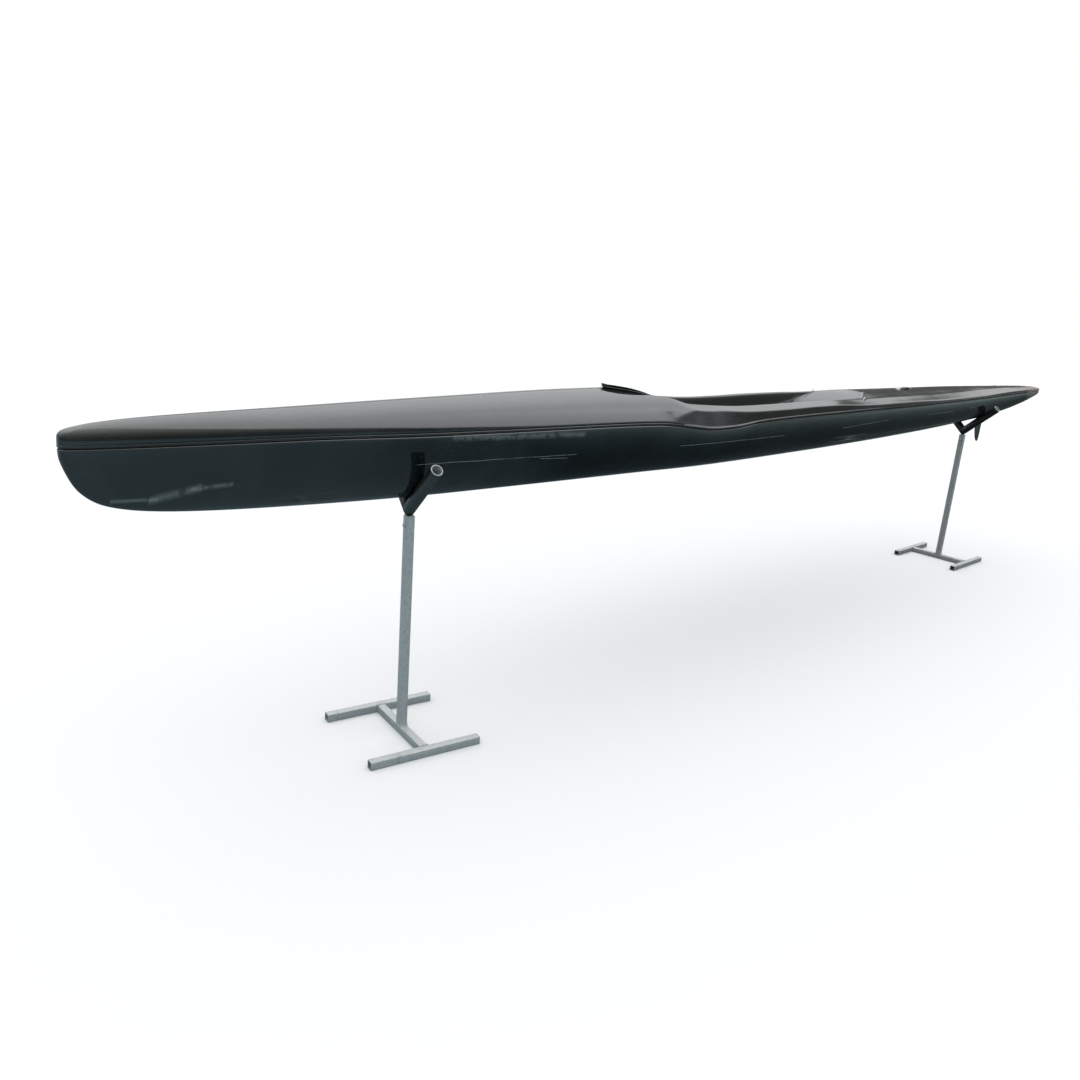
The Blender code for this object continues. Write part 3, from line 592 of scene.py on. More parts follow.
def make_peel():
    """Height of orange peel and of long laminate waves: wave times its share, plus peel times the rest."""
    tree, given, out = group("polish_waves", "Height",
                             (("Peel scale", 260.0), ("Wave scale", 5.0), ("Wave share", 0.8)))
    place = object_place(tree)
    peel = noise(tree, place, given["Peel scale"])
    wave = noise(tree, place, given["Wave scale"], SMOOTH)
    waves = maths(tree, "MULTIPLY", wave, given["Wave share"])
    spare = maths(tree, "SUBTRACT", 1.0, given["Wave share"])
    both = maths(tree, "MULTIPLY_ADD", peel, spare, waves)
    tree.links.new(both, out.inputs[0])
    return tree


POLISH_WAVES = make_peel()
print("node group:", POLISH_WAVES.name)

# %% [markdown]
# Dust lies in patches, and close up it is made of specks. It settles only on what faces up.

# %% Dust
DUST_FACING = (0.1, 0.9)
DUST_PATCHES = (0.38, 0.72)
DUST_SPECKS = (0.45, 0.75)
DUST_LEAST = 0.25


def make_dust():
    """Mask of dust: patches times specks, and only where the surface faces up."""
    tree, given, out = group("settled_dust", "Mask",
                             (("Amount", 0.5), ("Patch scale", 9.0), ("Speck scale", 700.0)))
    place = object_place(tree)
    facing = eased(tree, upward(tree), *DUST_FACING)
    patches = eased(tree, noise(tree, place, given["Patch scale"], RICH, GRITTY), *DUST_PATCHES)
    specks = eased(tree, noise(tree, place, given["Speck scale"], rough=GRITTY), *DUST_SPECKS)
    on_top = maths(tree, "MULTIPLY", patches, facing)
    dusty = maths(tree, "MULTIPLY", on_top, maths(tree, "ADD", specks, DUST_LEAST))
    tree.links.new(maths(tree, "MULTIPLY", dusty, given["Amount"]), out.inputs[0])
    return tree


DUST = make_dust()
print("node group:", DUST.name)

# %% [markdown]
# Hairlines are too many to draw one by one, so they come from a noise stretched hard along the piece.
# The few long pale lines are painted reflections, drawn one by one, each between its two ends as they are
# seen from the side. A short and wide one serves as a pale patch.

# %% Hairlines and painted reflection lines
HAIR_TURN = (0.05, 0.04, 0.03)
HAIR_THIN = 0.012
HAIR_SCALE = 4.0
HAIR_PLACES = (0.45, 0.65)
WANDER = 0.006
WANDER_SCALE = 9.0
LINE_TAPER = 0.04
BREAK_SCALE = 35.0
BREAK_SPAN = (0.30, 0.50)
BREAK_LEAST = 0.25


def make_hairlines():
    """Mask of fine hairlines: a stretched noise, kept where it is near its middle value."""
    tree, given, out = group("hairlines", "Mask", (("Amount", 0.5), ("Along", 6.0), ("Across", 900.0)))
    place = object_place(tree)
    turned = add(tree, "ShaderNodeMapping", {"Vector": place, "Rotation": HAIR_TURN}).outputs[0]
    scale = add(tree, "ShaderNodeCombineXYZ", {0: given["Along"], 1: given["Across"], 2: given["Across"]})
    fine = add(tree, "ShaderNodeVectorMath", {0: turned, 1: scale.outputs[0]}, operation="MULTIPLY")
    streak = noise(tree, fine.outputs[0], 1.0, SMOOTH)
    off_middle = maths(tree, "ABSOLUTE", maths(tree, "SUBTRACT", streak, 0.5))
    hair = eased(tree, off_middle, HAIR_THIN, 0.0)
    where = eased(tree, noise(tree, place, HAIR_SCALE, LAYERED), *HAIR_PLACES)
    mask = maths(tree, "MULTIPLY", hair, where)
    tree.links.new(maths(tree, "MULTIPLY", mask, given["Amount"]), out.inputs[0])
    return tree


def make_line_mask():
    """Mask of one pale line or patch on the boat's left side: one less the distance in height over the
    width.

    Its line runs between two points of x and z, wanders a little, tapers at both ends and is broken.
    """
    tree, given, out = group("side_pale_line", "Mask", (("From X", 0.0), ("From Z", 0.0), ("To X", 1.0),
                                                      ("To Z", 0.0), ("Width", 0.0015)))
    place = object_place(tree)
    at = add(tree, "ShaderNodeSeparateXYZ", {0: place}).outputs
    run = maths(tree, "SUBTRACT", given["To X"], given["From X"])
    share = maths(tree, "DIVIDE", maths(tree, "SUBTRACT", at["X"], given["From X"]), run)
    rise = maths(tree, "SUBTRACT", given["To Z"], given["From Z"])
    sway = maths(tree, "SUBTRACT", noise(tree, place, WANDER_SCALE, LAYERED), 0.5)
    wander = maths(tree, "MULTIPLY", sway, WANDER)
    level = maths(tree, "ADD", maths(tree, "MULTIPLY_ADD", rise, share, given["From Z"]), wander)
    away = maths(tree, "ABSOLUTE", maths(tree, "SUBTRACT", at["Z"], level))
    thin = maths(tree, "SUBTRACT", 1.0, maths(tree, "DIVIDE", away, given["Width"]))
    begun = eased(tree, share, 0.0, LINE_TAPER)
    inside = maths(tree, "MULTIPLY", begun, eased(tree, share, 1.0, 1.0 - LINE_TAPER))
    left = maths(tree, "LESS_THAN", at["Y"], 0.0)
    broken = eased(tree, noise(tree, place, BREAK_SCALE), *BREAK_SPAN, BREAK_LEAST, 1.0)
    mask = maths(tree, "MULTIPLY", maths(tree, "MAXIMUM", thin, 0.0), maths(tree, "MULTIPLY", inside, left))
    tree.links.new(maths(tree, "MULTIPLY", mask, broken), out.inputs[0])
    return tree


HAIRLINES = make_hairlines()
SIDE_LINE_MASK = make_line_mask()
print("node groups:", HAIRLINES.name, "and", SIDE_LINE_MASK.name)

# %% [markdown]
# The black gelcoat itself: nearly black with a breath of blue and green, as glass over black paint has.
# The pale lines and patches are placed where the photograph shows them on the near side of the hull. The
# lines and the three patches by the bow are painted reflections, and the last patch is a lighter long patch
# under the seam. Each row is from x and z to x and z, and a patch's row ends with its width.
# At the stern tip the polish is gone, and the laminate shows through as a warm grey.

# %% Black gelcoat
MARK_COLUMNS = ("From X", "From Z", "To X", "To Z", "Width")
# Painted reflections: long pale lines on the near side of the hull, from x and z to x and z.
PAINTED_REFLECTION_LINES = (
    (-2.203, 0.997, -1.511, 0.991), (-0.999, 0.993, -0.259, 0.997), (0.213, 1.004, 0.702, 1.024),
    (1.159, 1.027, 1.521, 1.028), (1.782, 1.033, 2.045, 1.046), (-1.690, 0.985, -1.560, 0.978),
)
# Three painted reflections of the ground's edge by the bow, then a lighter long patch under the seam.
SIDE_PATCHES = (
    (-3.090, 0.951, -2.966, 0.948, 0.008), (-2.995, 0.945, -2.855, 0.975, 0.018),
    (-2.890, 0.970, -2.770, 0.979, 0.010), (-2.087, 1.080, -1.500, 1.068, 0.014),
)
SIDE_PATCH_SHARE = 0.36
# Pale grey of the hairlines, and of the painted reflection lines and patches.
HAIRLINE_AND_REFLECTION_PALE = (0.30, 0.32, 0.32, 1.0)
DUST_PALE = (0.22, 0.21, 0.19, 1.0)
GEL_BLACK = (0.0040, 0.0068, 0.0070, 1.0)
GEL_HAZE = (0.012, 0.018, 0.020, 1.0)
GEL_WARM_GREY = (0.17, 0.135, 0.12, 1.0)
HAZE_SCALE = 2.2
HAZE_SPAN = (0.45, 0.75)
GEL_DUST = 0.10
GEL_HAIR = 0.35
WORN_SPAN = (2.96, 3.10)
WORN_SCALE = 14.0
WORN_RAGGED = 0.22
TOP_GREY_REACH = 0.9
TOP_FACING = (0.6, 0.95)
TOP_GREY_SHARE = 0.35
POLISH_ROUGH = 0.085
HAZE_ROUGH = 0.05
DUST_ROUGH = 0.5
MARK_ROUGH = 0.4
WORN_ROUGH = 0.35
GEL_IOR = 1.52
GEL_WAVES = {"Peel scale": 240.0, "Wave scale": 6.0, "Wave share": 0.93}
GEL_BUMP = 0.35
GEL_BUMP_HEIGHT = 0.002


def new_material(name):
    """A material with a Principled shader, and its tree and shader."""
    material = bpy.data.materials.new(name)
    material.use_nodes = True
    tree = material.node_tree
    return material, tree, tree.nodes["Principled BSDF"]


def bumped(tree, shader, height, strength, distance):
    """Bump from a height, into the shader's Normal."""
    bump = add(tree, "ShaderNodeBump", {"Height": height, "Strength": strength, "Distance": distance})
    tree.links.new(bump.outputs[0], shader.inputs["Normal"])


def side_mark(tree, row):
    """Mask of one row of the painted reflection lines or of the pale patches."""
    return use(tree, SIDE_LINE_MASK, dict(zip(MARK_COLUMNS, row)))


def lay_side_patches(tree, colour):
    """Colour with every pale patch laid over it thinly: painted reflections by the bow, and a lighter long
    patch under the seam.
    """
    for row in SIDE_PATCHES:
        share = maths(tree, "MULTIPLY", side_mark(tree, row), SIDE_PATCH_SHARE)
        colour = mixed(tree, share, colour, HAIRLINE_AND_REFLECTION_PALE)
    return colour


def with_worn_stern(tree, place, colour):
    """Colour with the worn stern tip, and the mask of bare laminate.

    The edge of the wear is ragged in x. Upward faces turn a fainter warm grey from farther forward.
    """
    at = add(tree, "ShaderNodeSeparateXYZ", {0: place}).outputs
    ragged = maths(tree, "MULTIPLY_ADD", noise(tree, place, WORN_SCALE, RICH), WORN_RAGGED, at["X"])
    worn = eased(tree, ragged, *WORN_SPAN)
    # Upward faces are made lighter and warmer towards the stern.
    on_top = maths(tree, "MULTIPLY", eased(tree, upward(tree), *TOP_FACING), TOP_GREY_REACH)
    top_grey = eased(tree, maths(tree, "ADD", ragged, on_top), *WORN_SPAN)
    colour = mixed(tree, maths(tree, "MULTIPLY", top_grey, TOP_GREY_SHARE), colour, GEL_WARM_GREY)
    return mixed(tree, worn, colour, GEL_WARM_GREY), worn


def make_gelcoat(name, marked_side=True):
    """Black polished gelcoat with haze, dust, hairlines, long pale lines and patches that are painted
    reflections, a lighter patch under the seam and a worn stern tip.
    """
    material, tree, shader = new_material(name)
    place = object_place(tree)
    haze = eased(tree, noise(tree, place, HAZE_SCALE, RICH, GRITTY), *HAZE_SPAN)
    colour = mixed(tree, haze, GEL_BLACK, GEL_HAZE)
    dust = use(tree, DUST, {"Amount": GEL_DUST})
    colour = mixed(tree, dust, colour, DUST_PALE)
    marks = use(tree, HAIRLINES, {"Amount": GEL_HAIR})
    # The long pale lines are painted reflections.
    for row in PAINTED_REFLECTION_LINES if marked_side else ():
        marks = maths(tree, "MAXIMUM", marks, side_mark(tree, row))
    colour = mixed(tree, marks, colour, HAIRLINE_AND_REFLECTION_PALE)
    # The pale patches: painted reflections by the bow, and the lighter patch under the seam.
    if marked_side:
        colour = lay_side_patches(tree, colour)
    colour, worn = with_worn_stern(tree, place, colour)
    tree.links.new(colour, shader.inputs["Base Color"])
    rough = maths(tree, "MULTIPLY_ADD", haze, HAZE_ROUGH, POLISH_ROUGH)
    for mask, share in ((dust, DUST_ROUGH), (marks, MARK_ROUGH), (worn, WORN_ROUGH)):
        rough = maths(tree, "MULTIPLY_ADD", mask, share, rough)
    tree.links.new(rough, shader.inputs["Roughness"])
    shader.inputs["IOR"].default_value = GEL_IOR
    bumped(tree, shader, use(tree, POLISH_WAVES, GEL_WAVES), GEL_BUMP, GEL_BUMP_HEIGHT)
    return material


gelcoat = make_gelcoat("black_gelcoat")
print("gelcoat ready with", len(PAINTED_REFLECTION_LINES), "reflection_lines and", len(SIDE_PATCHES), "pale_patches")

# %% [markdown]
# The hull is one moulding, from the seam on one side round the keel to the seam on the other.
# Each section is a quarter of a super-ellipse, mirrored:
# width to the power p plus depth to the power p is one.
# Its top edge rolls in to a narrow flange, on which the deck was bonded. The wall is a thin laminate.
# At the tips there is no room for full edges and walls, so each gives way to a share of the half width.

# %% Hull skin
SEAM_ROLL = 0.0007
SEAM_GAP = 0.008
FLANGE = 0.010
SKIN = 0.003
TIP_SHARE = 0.3
TIP_STEP = 0.0006
TIP_SPREAD = 0.30
HULL_STEP = 0.022
HULL_POINTS = 34
ROLL_POINTS = 6


def at_most(size, beam):
    """A size that is at most a share of the half width."""
    return np.minimum(size, TIP_SHARE * beam)


def edge_roll(beam, edge, way):
    """Flange and rolled edge at the seam: points inward, then a quarter circle; way is 1 up or -1 down."""
    roll = at_most(SEAM_ROLL, beam)
    lip = at_most(FLANGE, beam)
    angle = np.linspace(0.0, math.pi / 2, ROLL_POINTS)[None, :]
    y = (beam - roll)[:, None] + roll[:, None] * np.sin(angle)
    z = edge[:, None] + way * roll[:, None] * (1 - np.cos(angle))
    y = np.concatenate([(beam - roll - lip)[:, None], y], 1)
    z = np.concatenate([edge[:, None], z], 1)
    return y, z, edge + way * roll


def hull_half(x):
    """Half sections of the hull as y and z arrays [stations, points], from the seam to the keel."""
    beam = half_beam(x)
    roll_y, roll_z, start = edge_roll(beam, seam_height(x) - SEAM_GAP / 2, -1)
    power = (2 / line("hull_full", x))[:, None]
    angle = np.linspace(0.0, math.pi / 2, HULL_POINTS)[None, 1:]
    y = beam[:, None] * np.cos(angle).clip(0, 1) ** power
    z = start[:, None] - (start - line("keel", x))[:, None] * np.sin(angle) ** power
    return np.concatenate([roll_y, y], 1), np.concatenate([roll_z, z], 1)


def both_sides(x, y, z):
    """Full sections from half ones: left side, middle, then the right side mirrored."""
    left = np.stack([np.broadcast_to(x[:, None], y.shape), -y, z], 2)
    right = left[:, -2::-1] * (1, -1, 1)
    return np.concatenate([left, right], 1)


hull_x = crowded(BOW, STERN, HULL_STEP, TIP_STEP, (BOW, STERN), TIP_SPREAD)
hull_grid = both_sides(hull_x, *hull_half(hull_x))
hull_skin = piece_from_grids("hull_skin", [walled(hull_grid, at_most(SKIN, half_beam(hull_x)))])
dress(hull_skin, gelcoat, replaces=("hull",))

# %% [markdown]
# The deck is the other moulding. Ahead of the cockpit it is a plain arch.
# From the cockpit aft, it has a steep side, a flat ledge to sit out on, and a low crown.
# The cockpit is a tub in it: a footwell, a hump under the thighs, a bucket for the hips and a sloping back.
# First come the lines that all sections share. Near the tips each one gives way to the boat's own size,
# so that the deck closes there without a fold.

# %% Deck lines
SEAM_BEAD = 0.0008
BEAD_HEIGHT = 0.0035
SIDE_LEAN = 0.20
GUNWALE_LEDGE = 0.040
BLEND_SPAN = (-1.06, -0.90)
CREASE_ROUND = 0.004
TUB_COLUMNS = ("x", "half_width", "floor")
TUB = (
    (-1.245, 0.010, 1.240), (-1.230, 0.012, 1.165), (-1.203, 0.042, 1.110), (-1.150, 0.073, 1.020),
    (-1.075, 0.102, 0.952), (-0.967, 0.150, 0.932), (-0.905, 0.172, 0.930), (-0.840, 0.166, 0.930),
    (-0.770, 0.158, 0.930), (-0.500, 0.158, 0.930), (-0.340, 0.154, 0.975), (-0.220, 0.152, 1.002),
    (-0.080, 0.158, 0.975), (0.080, 0.165, 0.952), (0.200, 0.168, 0.960), (0.255, 0.167, 0.990),
    (0.295, 0.164, 1.050), (0.340, 0.159, 1.086), (0.420, 0.146, 1.114), (0.530, 0.108, 1.138),
    (0.600, 0.070, 1.1450), (0.660, 0.040, 1.165),
)
TUB_REACH = 0.03
TUB_FLOOR_REACH = 0.018
LEAST_BEAM = 1e-6
LEAST_INNER = 1e-4
LEAST_CROWN = 0.002
LEAST_SIDE = 0.003
CROWN_SHARE = 0.2
INSET_SHARE = 0.2
RISE_SHARE = 0.5
TUB_OF_BEAM = 0.4
TUB_OF_WIDTH = 0.3
LEDGE_OVERRUN = 1.5


def soft_min(a, b, size):
    """Lower of two heights, with the corner rounded over about size."""
    return 0.5 * (a + b - np.sqrt((a - b) ** 2 + size ** 2))


def soft_max(a, b, size):
    """Higher of two heights, with the corner rounded over about size."""
    return -soft_min(-a, -b, size)


def smooth_step(x, low, high):
    """0 below low and 1 above high, with an S curve between."""
    t = np.clip((x - low) / (high - low), 0.0, 1.0)
    return t * t * (3 - 2 * t)


class DeckLines:
    """The deck's lines at an array of stations, each as a column, so that they combine with rows."""

    def __init__(self, x):
        """Heights, widths and the share of the aft form (aft is 0 ahead of the cockpit and 1 behind)."""
        self.beam = np.maximum(half_beam(x), LEAST_BEAM)[:, None]
        self.edge = seam_height(x) + SEAM_GAP / 2
        self.bead = at_most(BEAD_HEIGHT, self.beam)
        self.start = self.edge[:, None] + at_most(SEAM_ROLL, self.beam) + self.bead
        self.crown = np.maximum(line("crown", x)[:, None], self.start + LEAST_CROWN)
        self.full = line("deck_full", x)[:, None]
        self.aft = smooth_step(x, *BLEND_SPAN)[:, None]
        gunwale = faired(GUNWALE_LINE, x, GUNWALE_REACH)[:, None]
        gunwale = np.maximum(gunwale, self.start + LEAST_SIDE)
        self.gunwale = np.minimum(gunwale, self.crown - CROWN_SHARE * (self.crown - self.start))
        self.inset = np.minimum(SIDE_LEAN * (self.gunwale - self.start), INSET_SHARE * self.beam)
        self.ledge = at_most(GUNWALE_LEDGE, self.beam)
        rise = faired(LEDGE_RISE_LINE, x, GUNWALE_REACH)[:, None]
        self.rise = np.minimum(rise, RISE_SHARE * (self.crown - self.gunwale))
        width = faired(column(TUB, TUB_COLUMNS, "half_width"), x, TUB_REACH)[:, None]
        self.tub = np.minimum(width, TUB_OF_BEAM * self.beam + TUB_OF_WIDTH * width)
        self.floor = faired(column(TUB, TUB_COLUMNS, "floor"), x, TUB_FLOOR_REACH)[:, None]

    def arch(self, y):
        """Height of the plain foredeck arch: a super-ellipse from the seam to the crown."""
        share = np.clip(y / self.beam, 0, 1)
        return self.start + (self.crown - self.start) * (1 - share ** self.full) ** (1 / self.full)

    def shelf(self, y):
        """Height of the aft deck inside its edge: a ledge, then a low sine arch that starts in a crease."""
        inner = np.maximum(self.beam - self.inset - self.ledge, LEAST_INNER)
        onto = np.clip((self.beam - self.inset - y) / self.ledge, 0, LEDGE_OVERRUN)
        flat = self.gunwale + self.rise * onto
        low = self.gunwale + self.rise
        bow = low + (self.crown - low) * np.sin(math.pi / 2 * np.clip(1 - y / inner, -1, 1))
        return soft_max(flat, bow, at_most(CREASE_ROUND, self.beam))

    def top(self, y):
        """Height of the deck at half width y, without the cockpit."""
        return self.arch(y) * (1 - self.aft) + self.shelf(y) * self.aft


print("deck lines ready, with", len(TUB), "marks for the tub")

# %% [markdown]
# Cutting a tub out with a Boolean leaves a raw edge. Here each section is one curve that goes over the deck
# and down into the tub, and where two surfaces meet, a soft minimum of their heights rounds the corner.
# The deck's lower edge carries a fine bead, which shows as a bright line over the dark seam.

# %% Deck sections
BEAD_POINTS = 8
BEAD_SHARE = 0.1
SIDE_ROUND = 0.005
SIDE_POINTS = 11
SIDE_OVERRUN = 1.35
LEAST_INSET = 1e-5
LEDGE_POINTS = 21
LEDGE_CROWDING = 1.25
TUB_LEAN = 0.20
TUB_MOUTH_SHARE = 0.8
FLOOR_OVER_RIM = 0.015
RIM_ROUND = 0.010
WALL_ABOVE = 0.030
WALL_POINTS = 12
WALL_CROWDING = 1.6
CORNER_POINTS = 9
CORNER_OF_WIDTH = 0.55
CORNER_OF_DEPTH = 0.6
LEAST_DEPTH = 0.002
FLOOR_POINTS = 6


def fore_section(d, last):
    """The foredeck's arch as a super-ellipse by its angle, from the seam in to the half width last."""
    share = np.linspace(0.0, 1.0, SIDE_POINTS + LEDGE_POINTS)[None, 1:]
    turn = share * np.arccos(np.clip(last / d.beam, 0, 1) ** (d.full / 2))
    y = d.beam * np.cos(turn) ** (2 / d.full)
    z = d.start + (d.crown - d.start) * np.sin(turn) ** (2 / d.full)
    return y, z


def aft_section(d, last):
    """Side and ledge, from the seam in to the half width last.

    The side's plane leans in by d.inset and runs on past the gunwale, and a soft minimum of it and the
    shelf rounds the edge. The last point lies on the shelf itself.
    """
    edge_round = at_most(SIDE_ROUND, d.beam)
    up = np.linspace(0.0, SIDE_OVERRUN, SIDE_POINTS)[None, 1:]
    side_y = d.beam - d.inset * up
    side_z = soft_min(d.start + up * (d.gunwale - d.start), d.shelf(side_y), edge_round)
    across = np.linspace(0.0, 1.0, LEDGE_POINTS + 1)[None, 1:] ** LEDGE_CROWDING
    ledge_y = side_y[:, -1:] + (last - side_y[:, -1:]) * across
    steep = d.start + (d.beam - ledge_y) / np.maximum(d.inset, LEAST_INSET) * (d.gunwale - d.start)
    ledge_z = soft_min(steep, d.shelf(ledge_y), edge_round)
    ledge_y[:, -1:] = last
    ledge_z[:, -1:] = d.shelf(last)
    return np.concatenate([side_y, ledge_y], 1), np.concatenate([side_z, ledge_z], 1)


def tub_section(d, last):
    """The tub's wall, which leans in by TUB_LEAN of its height, a quarter circle and a flat floor.

    The wall starts WALL_ABOVE over the rim, and a soft minimum of it and the deck rounds the rim.
    """
    rim = d.top(d.tub)
    floor = np.minimum(d.floor, rim + FLOOR_OVER_RIM)
    depth = np.maximum(rim - floor, LEAST_DEPTH)
    radius = np.minimum(CORNER_OF_WIDTH * d.tub, CORNER_OF_DEPTH * depth)
    corner = floor + radius
    drop = np.linspace(0.0, 1.0, WALL_POINTS)[None, 1:] ** WALL_CROWDING
    wall_z = rim + WALL_ABOVE + (corner - rim - WALL_ABOVE) * drop
    wall_y = np.minimum(d.tub - TUB_LEAN * (rim - wall_z), last)
    bottom = d.tub - TUB_LEAN * (rim - corner)
    bend = np.linspace(0.0, math.pi / 2, CORNER_POINTS)[None, 1:]
    corner_y = bottom - radius * (1 - np.cos(bend))
    corner_z = corner - radius * np.sin(bend)
    floor_y = (bottom - radius) * np.linspace(1.0, 0.0, FLOOR_POINTS)[None, 1:]
    floor_z = floor + 0 * floor_y
    y = np.concatenate([wall_y, corner_y, floor_y], 1)
    z = np.concatenate([wall_z, corner_z, floor_z], 1)
    return y, soft_min(z, d.top(y), RIM_ROUND)


def deck_half(x):
    """Half sections of the deck: seam edge, bead, the two upper forms blended by d.aft, and the tub."""
    d = DeckLines(x)
    roll_y, roll_z, _ = edge_roll(d.beam[:, 0], d.edge, 1)
    swell = np.linspace(0.0, 1.0, BEAD_POINTS)[None, 1:]
    bead_y = d.beam + np.minimum(SEAM_BEAD, BEAD_SHARE * d.beam) * np.sin(math.pi * swell)
    bead_z = d.start - d.bead * (1 - swell)
    last = np.minimum(d.tub + TUB_LEAN * WALL_ABOVE, TUB_MOUTH_SHARE * d.beam)
    fore_y, fore_z = fore_section(d, last)
    aft_y, aft_z = aft_section(d, last)
    tub_y, tub_z = tub_section(d, last)
    over_y = fore_y * (1 - d.aft) + aft_y * d.aft
    over_z = fore_z * (1 - d.aft) + aft_z * d.aft
    y = np.concatenate([roll_y, bead_y, over_y, tub_y], 1)
    z = np.concatenate([roll_z, bead_z, over_z, tub_z], 1)
    return y, z


print("a half section of the deck has", deck_half(np.array([0.0]))[0].shape[1], "points")

# %% [markdown]
# Stations crowd where the form turns quickly: at both tips and at the cockpit's pointed front.
# The whole cockpit has finer stations than the plain decks, so they are worked out apart and put in.
# The sections run the other way round from the hull's, so that the wall's thickness goes inward.

# %% Deck skin
DECK_STEP = 0.030
COCKPIT_SPAN = (-1.32, 0.70)
COCKPIT_MARGIN = 0.01
COCKPIT_STEP = 0.016
COCKPIT_FRONT = -1.235
FRONT_STEP = 0.0030
FRONT_SPREAD = 0.10

deck_x = crowded(BOW, STERN, DECK_STEP, TIP_STEP, (BOW, STERN), TIP_SPREAD)
cockpit_x = crowded(*COCKPIT_SPAN, COCKPIT_STEP, FRONT_STEP, (COCKPIT_FRONT,), FRONT_SPREAD)
ahead = deck_x < COCKPIT_SPAN[0] - COCKPIT_MARGIN
behind = deck_x > COCKPIT_SPAN[1] + COCKPIT_MARGIN
deck_x = np.sort(np.concatenate([deck_x[ahead | behind], cockpit_x]))
deck_grid = both_sides(deck_x, *deck_half(deck_x))[:, ::-1]
deck_skin = piece_from_grids("deck_skin", [walled(deck_grid, at_most(SKIN, half_beam(deck_x)))])
dress(deck_skin, gelcoat, replaces=("deck",))

# %% [markdown]
# Moulded plastic and rubber are dull, but never one flat colour.
# A slow noise varies the shade, dust lies on top, and a fine noise gives the grain.

# %% Plain plastic and rubber
TONE_SCALE = 14.0
TONE_SPAN = (0.35, 0.7)
TONE_PALER = 1.7
PLAIN_DUST = 0.35
GRAIN_HEIGHT = 0.001


def make_plain(name, colour, roughness, bump=0.0, scale=400.0):
    """Plain plastic or rubber: one colour that varies a little, dust, and a fine grain."""
    material, tree, shader = new_material(name)
    place = object_place(tree)
    shade = eased(tree, noise(tree, place, TONE_SCALE, RICH, GRITTY), *TONE_SPAN)
    tone = mixed(tree, shade, (*colour, 1.0), (*(TONE_PALER * v for v in colour), 1.0))
    tone = mixed(tree, use(tree, DUST, {"Amount": PLAIN_DUST}), tone, DUST_PALE)
    tree.links.new(tone, shader.inputs["Base Color"])
    shader.inputs["Roughness"].default_value = roughness
    if bump:
        bumped(tree, shader, noise(tree, place, scale), bump, GRAIN_HEIGHT)
    return material


sealant = make_plain("black_sealant", (0.004, 0.004, 0.004), 0.8)
print("first plain finish:", sealant.name)

# %% [markdown]
# The seam between the two mouldings is a dark groove, filled with black sealant.
# The sealant stands back from the edge. It is one thin strip for each side, which follows the seam line.

# %% Seam sealant
SEALANT_BACK = 0.0018
SEALANT_DEPTH = 0.004
SEALANT_HALF = 0.0055


def seam_strip(x, side):
    """Strip with four corners in its section, along one side of the boat."""
    outer = np.maximum(half_beam(x) - SEALANT_BACK, 0.0)
    inner = np.maximum(outer - SEALANT_DEPTH, 0.0)
    level = seam_height(x)
    corners = ((outer, -1), (outer, 1), (inner, 1), (inner, -1))
    return np.stack([np.stack([x, side * y, level + way * SEALANT_HALF], 1) for y, way in corners], 1)


strip_x = hull_x[half_beam(hull_x) > SEALANT_DEPTH]
seam_sealant = piece_from_grids("seam_sealant", [seam_strip(strip_x, side) for side in (-1, 1)], cap=True)
dress(seam_sealant, sealant, sharp=40)

# %% [markdown]
# Many small pieces are a section that is carried along a path, or turned about an axis.
# Two helpers make their grids, and a third gives the section of a bar with rounded corners.
# A bevelled curve or the Screw modifier could make them too. Grids are used because their sums show,
# and because size and side can change from one row to the next.

# %% Sweep, lathe and section helpers
THIN_POINTS = 10


def ring(width, height, power=2.0, count=24):
    """Closed section: |u / half width| to the power p, plus the same for v, is one."""
    a = np.linspace(0.0, 2 * math.pi, count, endpoint=False)
    u = width / 2 * np.sign(np.cos(a)) * np.abs(np.cos(a)) ** (2 / power)
    v = height / 2 * np.sign(np.sin(a)) * np.abs(np.sin(a)) ** (2 / power)
    return np.stack([u, v], 1)


def swept(path, section, side, closed=False):
    """Section carried along a flat path: u lies along side, v along the path's normal."""
    path = np.asarray(path, float)
    if closed:
        along = np.roll(path, -1, 0) - np.roll(path, 1, 0)
    else:
        along = np.gradient(path, axis=0)
    along /= np.linalg.norm(along, axis=1, keepdims=True)
    side = np.asarray(side, float)
    normal = np.cross(along, side)
    section = np.broadcast_to(section, (len(path),) + np.shape(section)[-2:])
    return path[:, None] + section[..., :1] * side + section[..., 1:] * normal[:, None]


def lathed(outline, segments=32, place=(0, 0, 0), axis=(0, 0, 1), across=(1, 0, 0)):
    """(radius, height) points turned about an axis through place."""
    a = np.linspace(0.0, 2 * math.pi, segments, endpoint=False)
    axis = np.asarray(axis, float)
    across = np.asarray(across, float)
    third = np.cross(axis, across)
    radius, height = np.array(outline, float).T[:, :, None, None]
    turn = np.cos(a)[None, :, None] * across + np.sin(a)[None, :, None] * third
    return np.asarray(place, float) + radius * turn + height * axis


print("a 4-power ring has", len(ring(1, 1, 4)), "points")

# %% [markdown]
# The splash deflector is a thin lip. It stands in a groove along the cockpit's front edge and leans forward.
# It is a section swept along the edge: a flared foot, a bead halfway up that stiffens it, and a round top.
# It keeps its height nearly to its ends: the height falls with the power 4 of the distance from the middle.
# A thin grey strip on the bead's crest is a painted highlight, which shows as a thin grey line along the
# black lip.
# A bevelled curve could follow the edge, but a grid lets height and lean change by a formula.

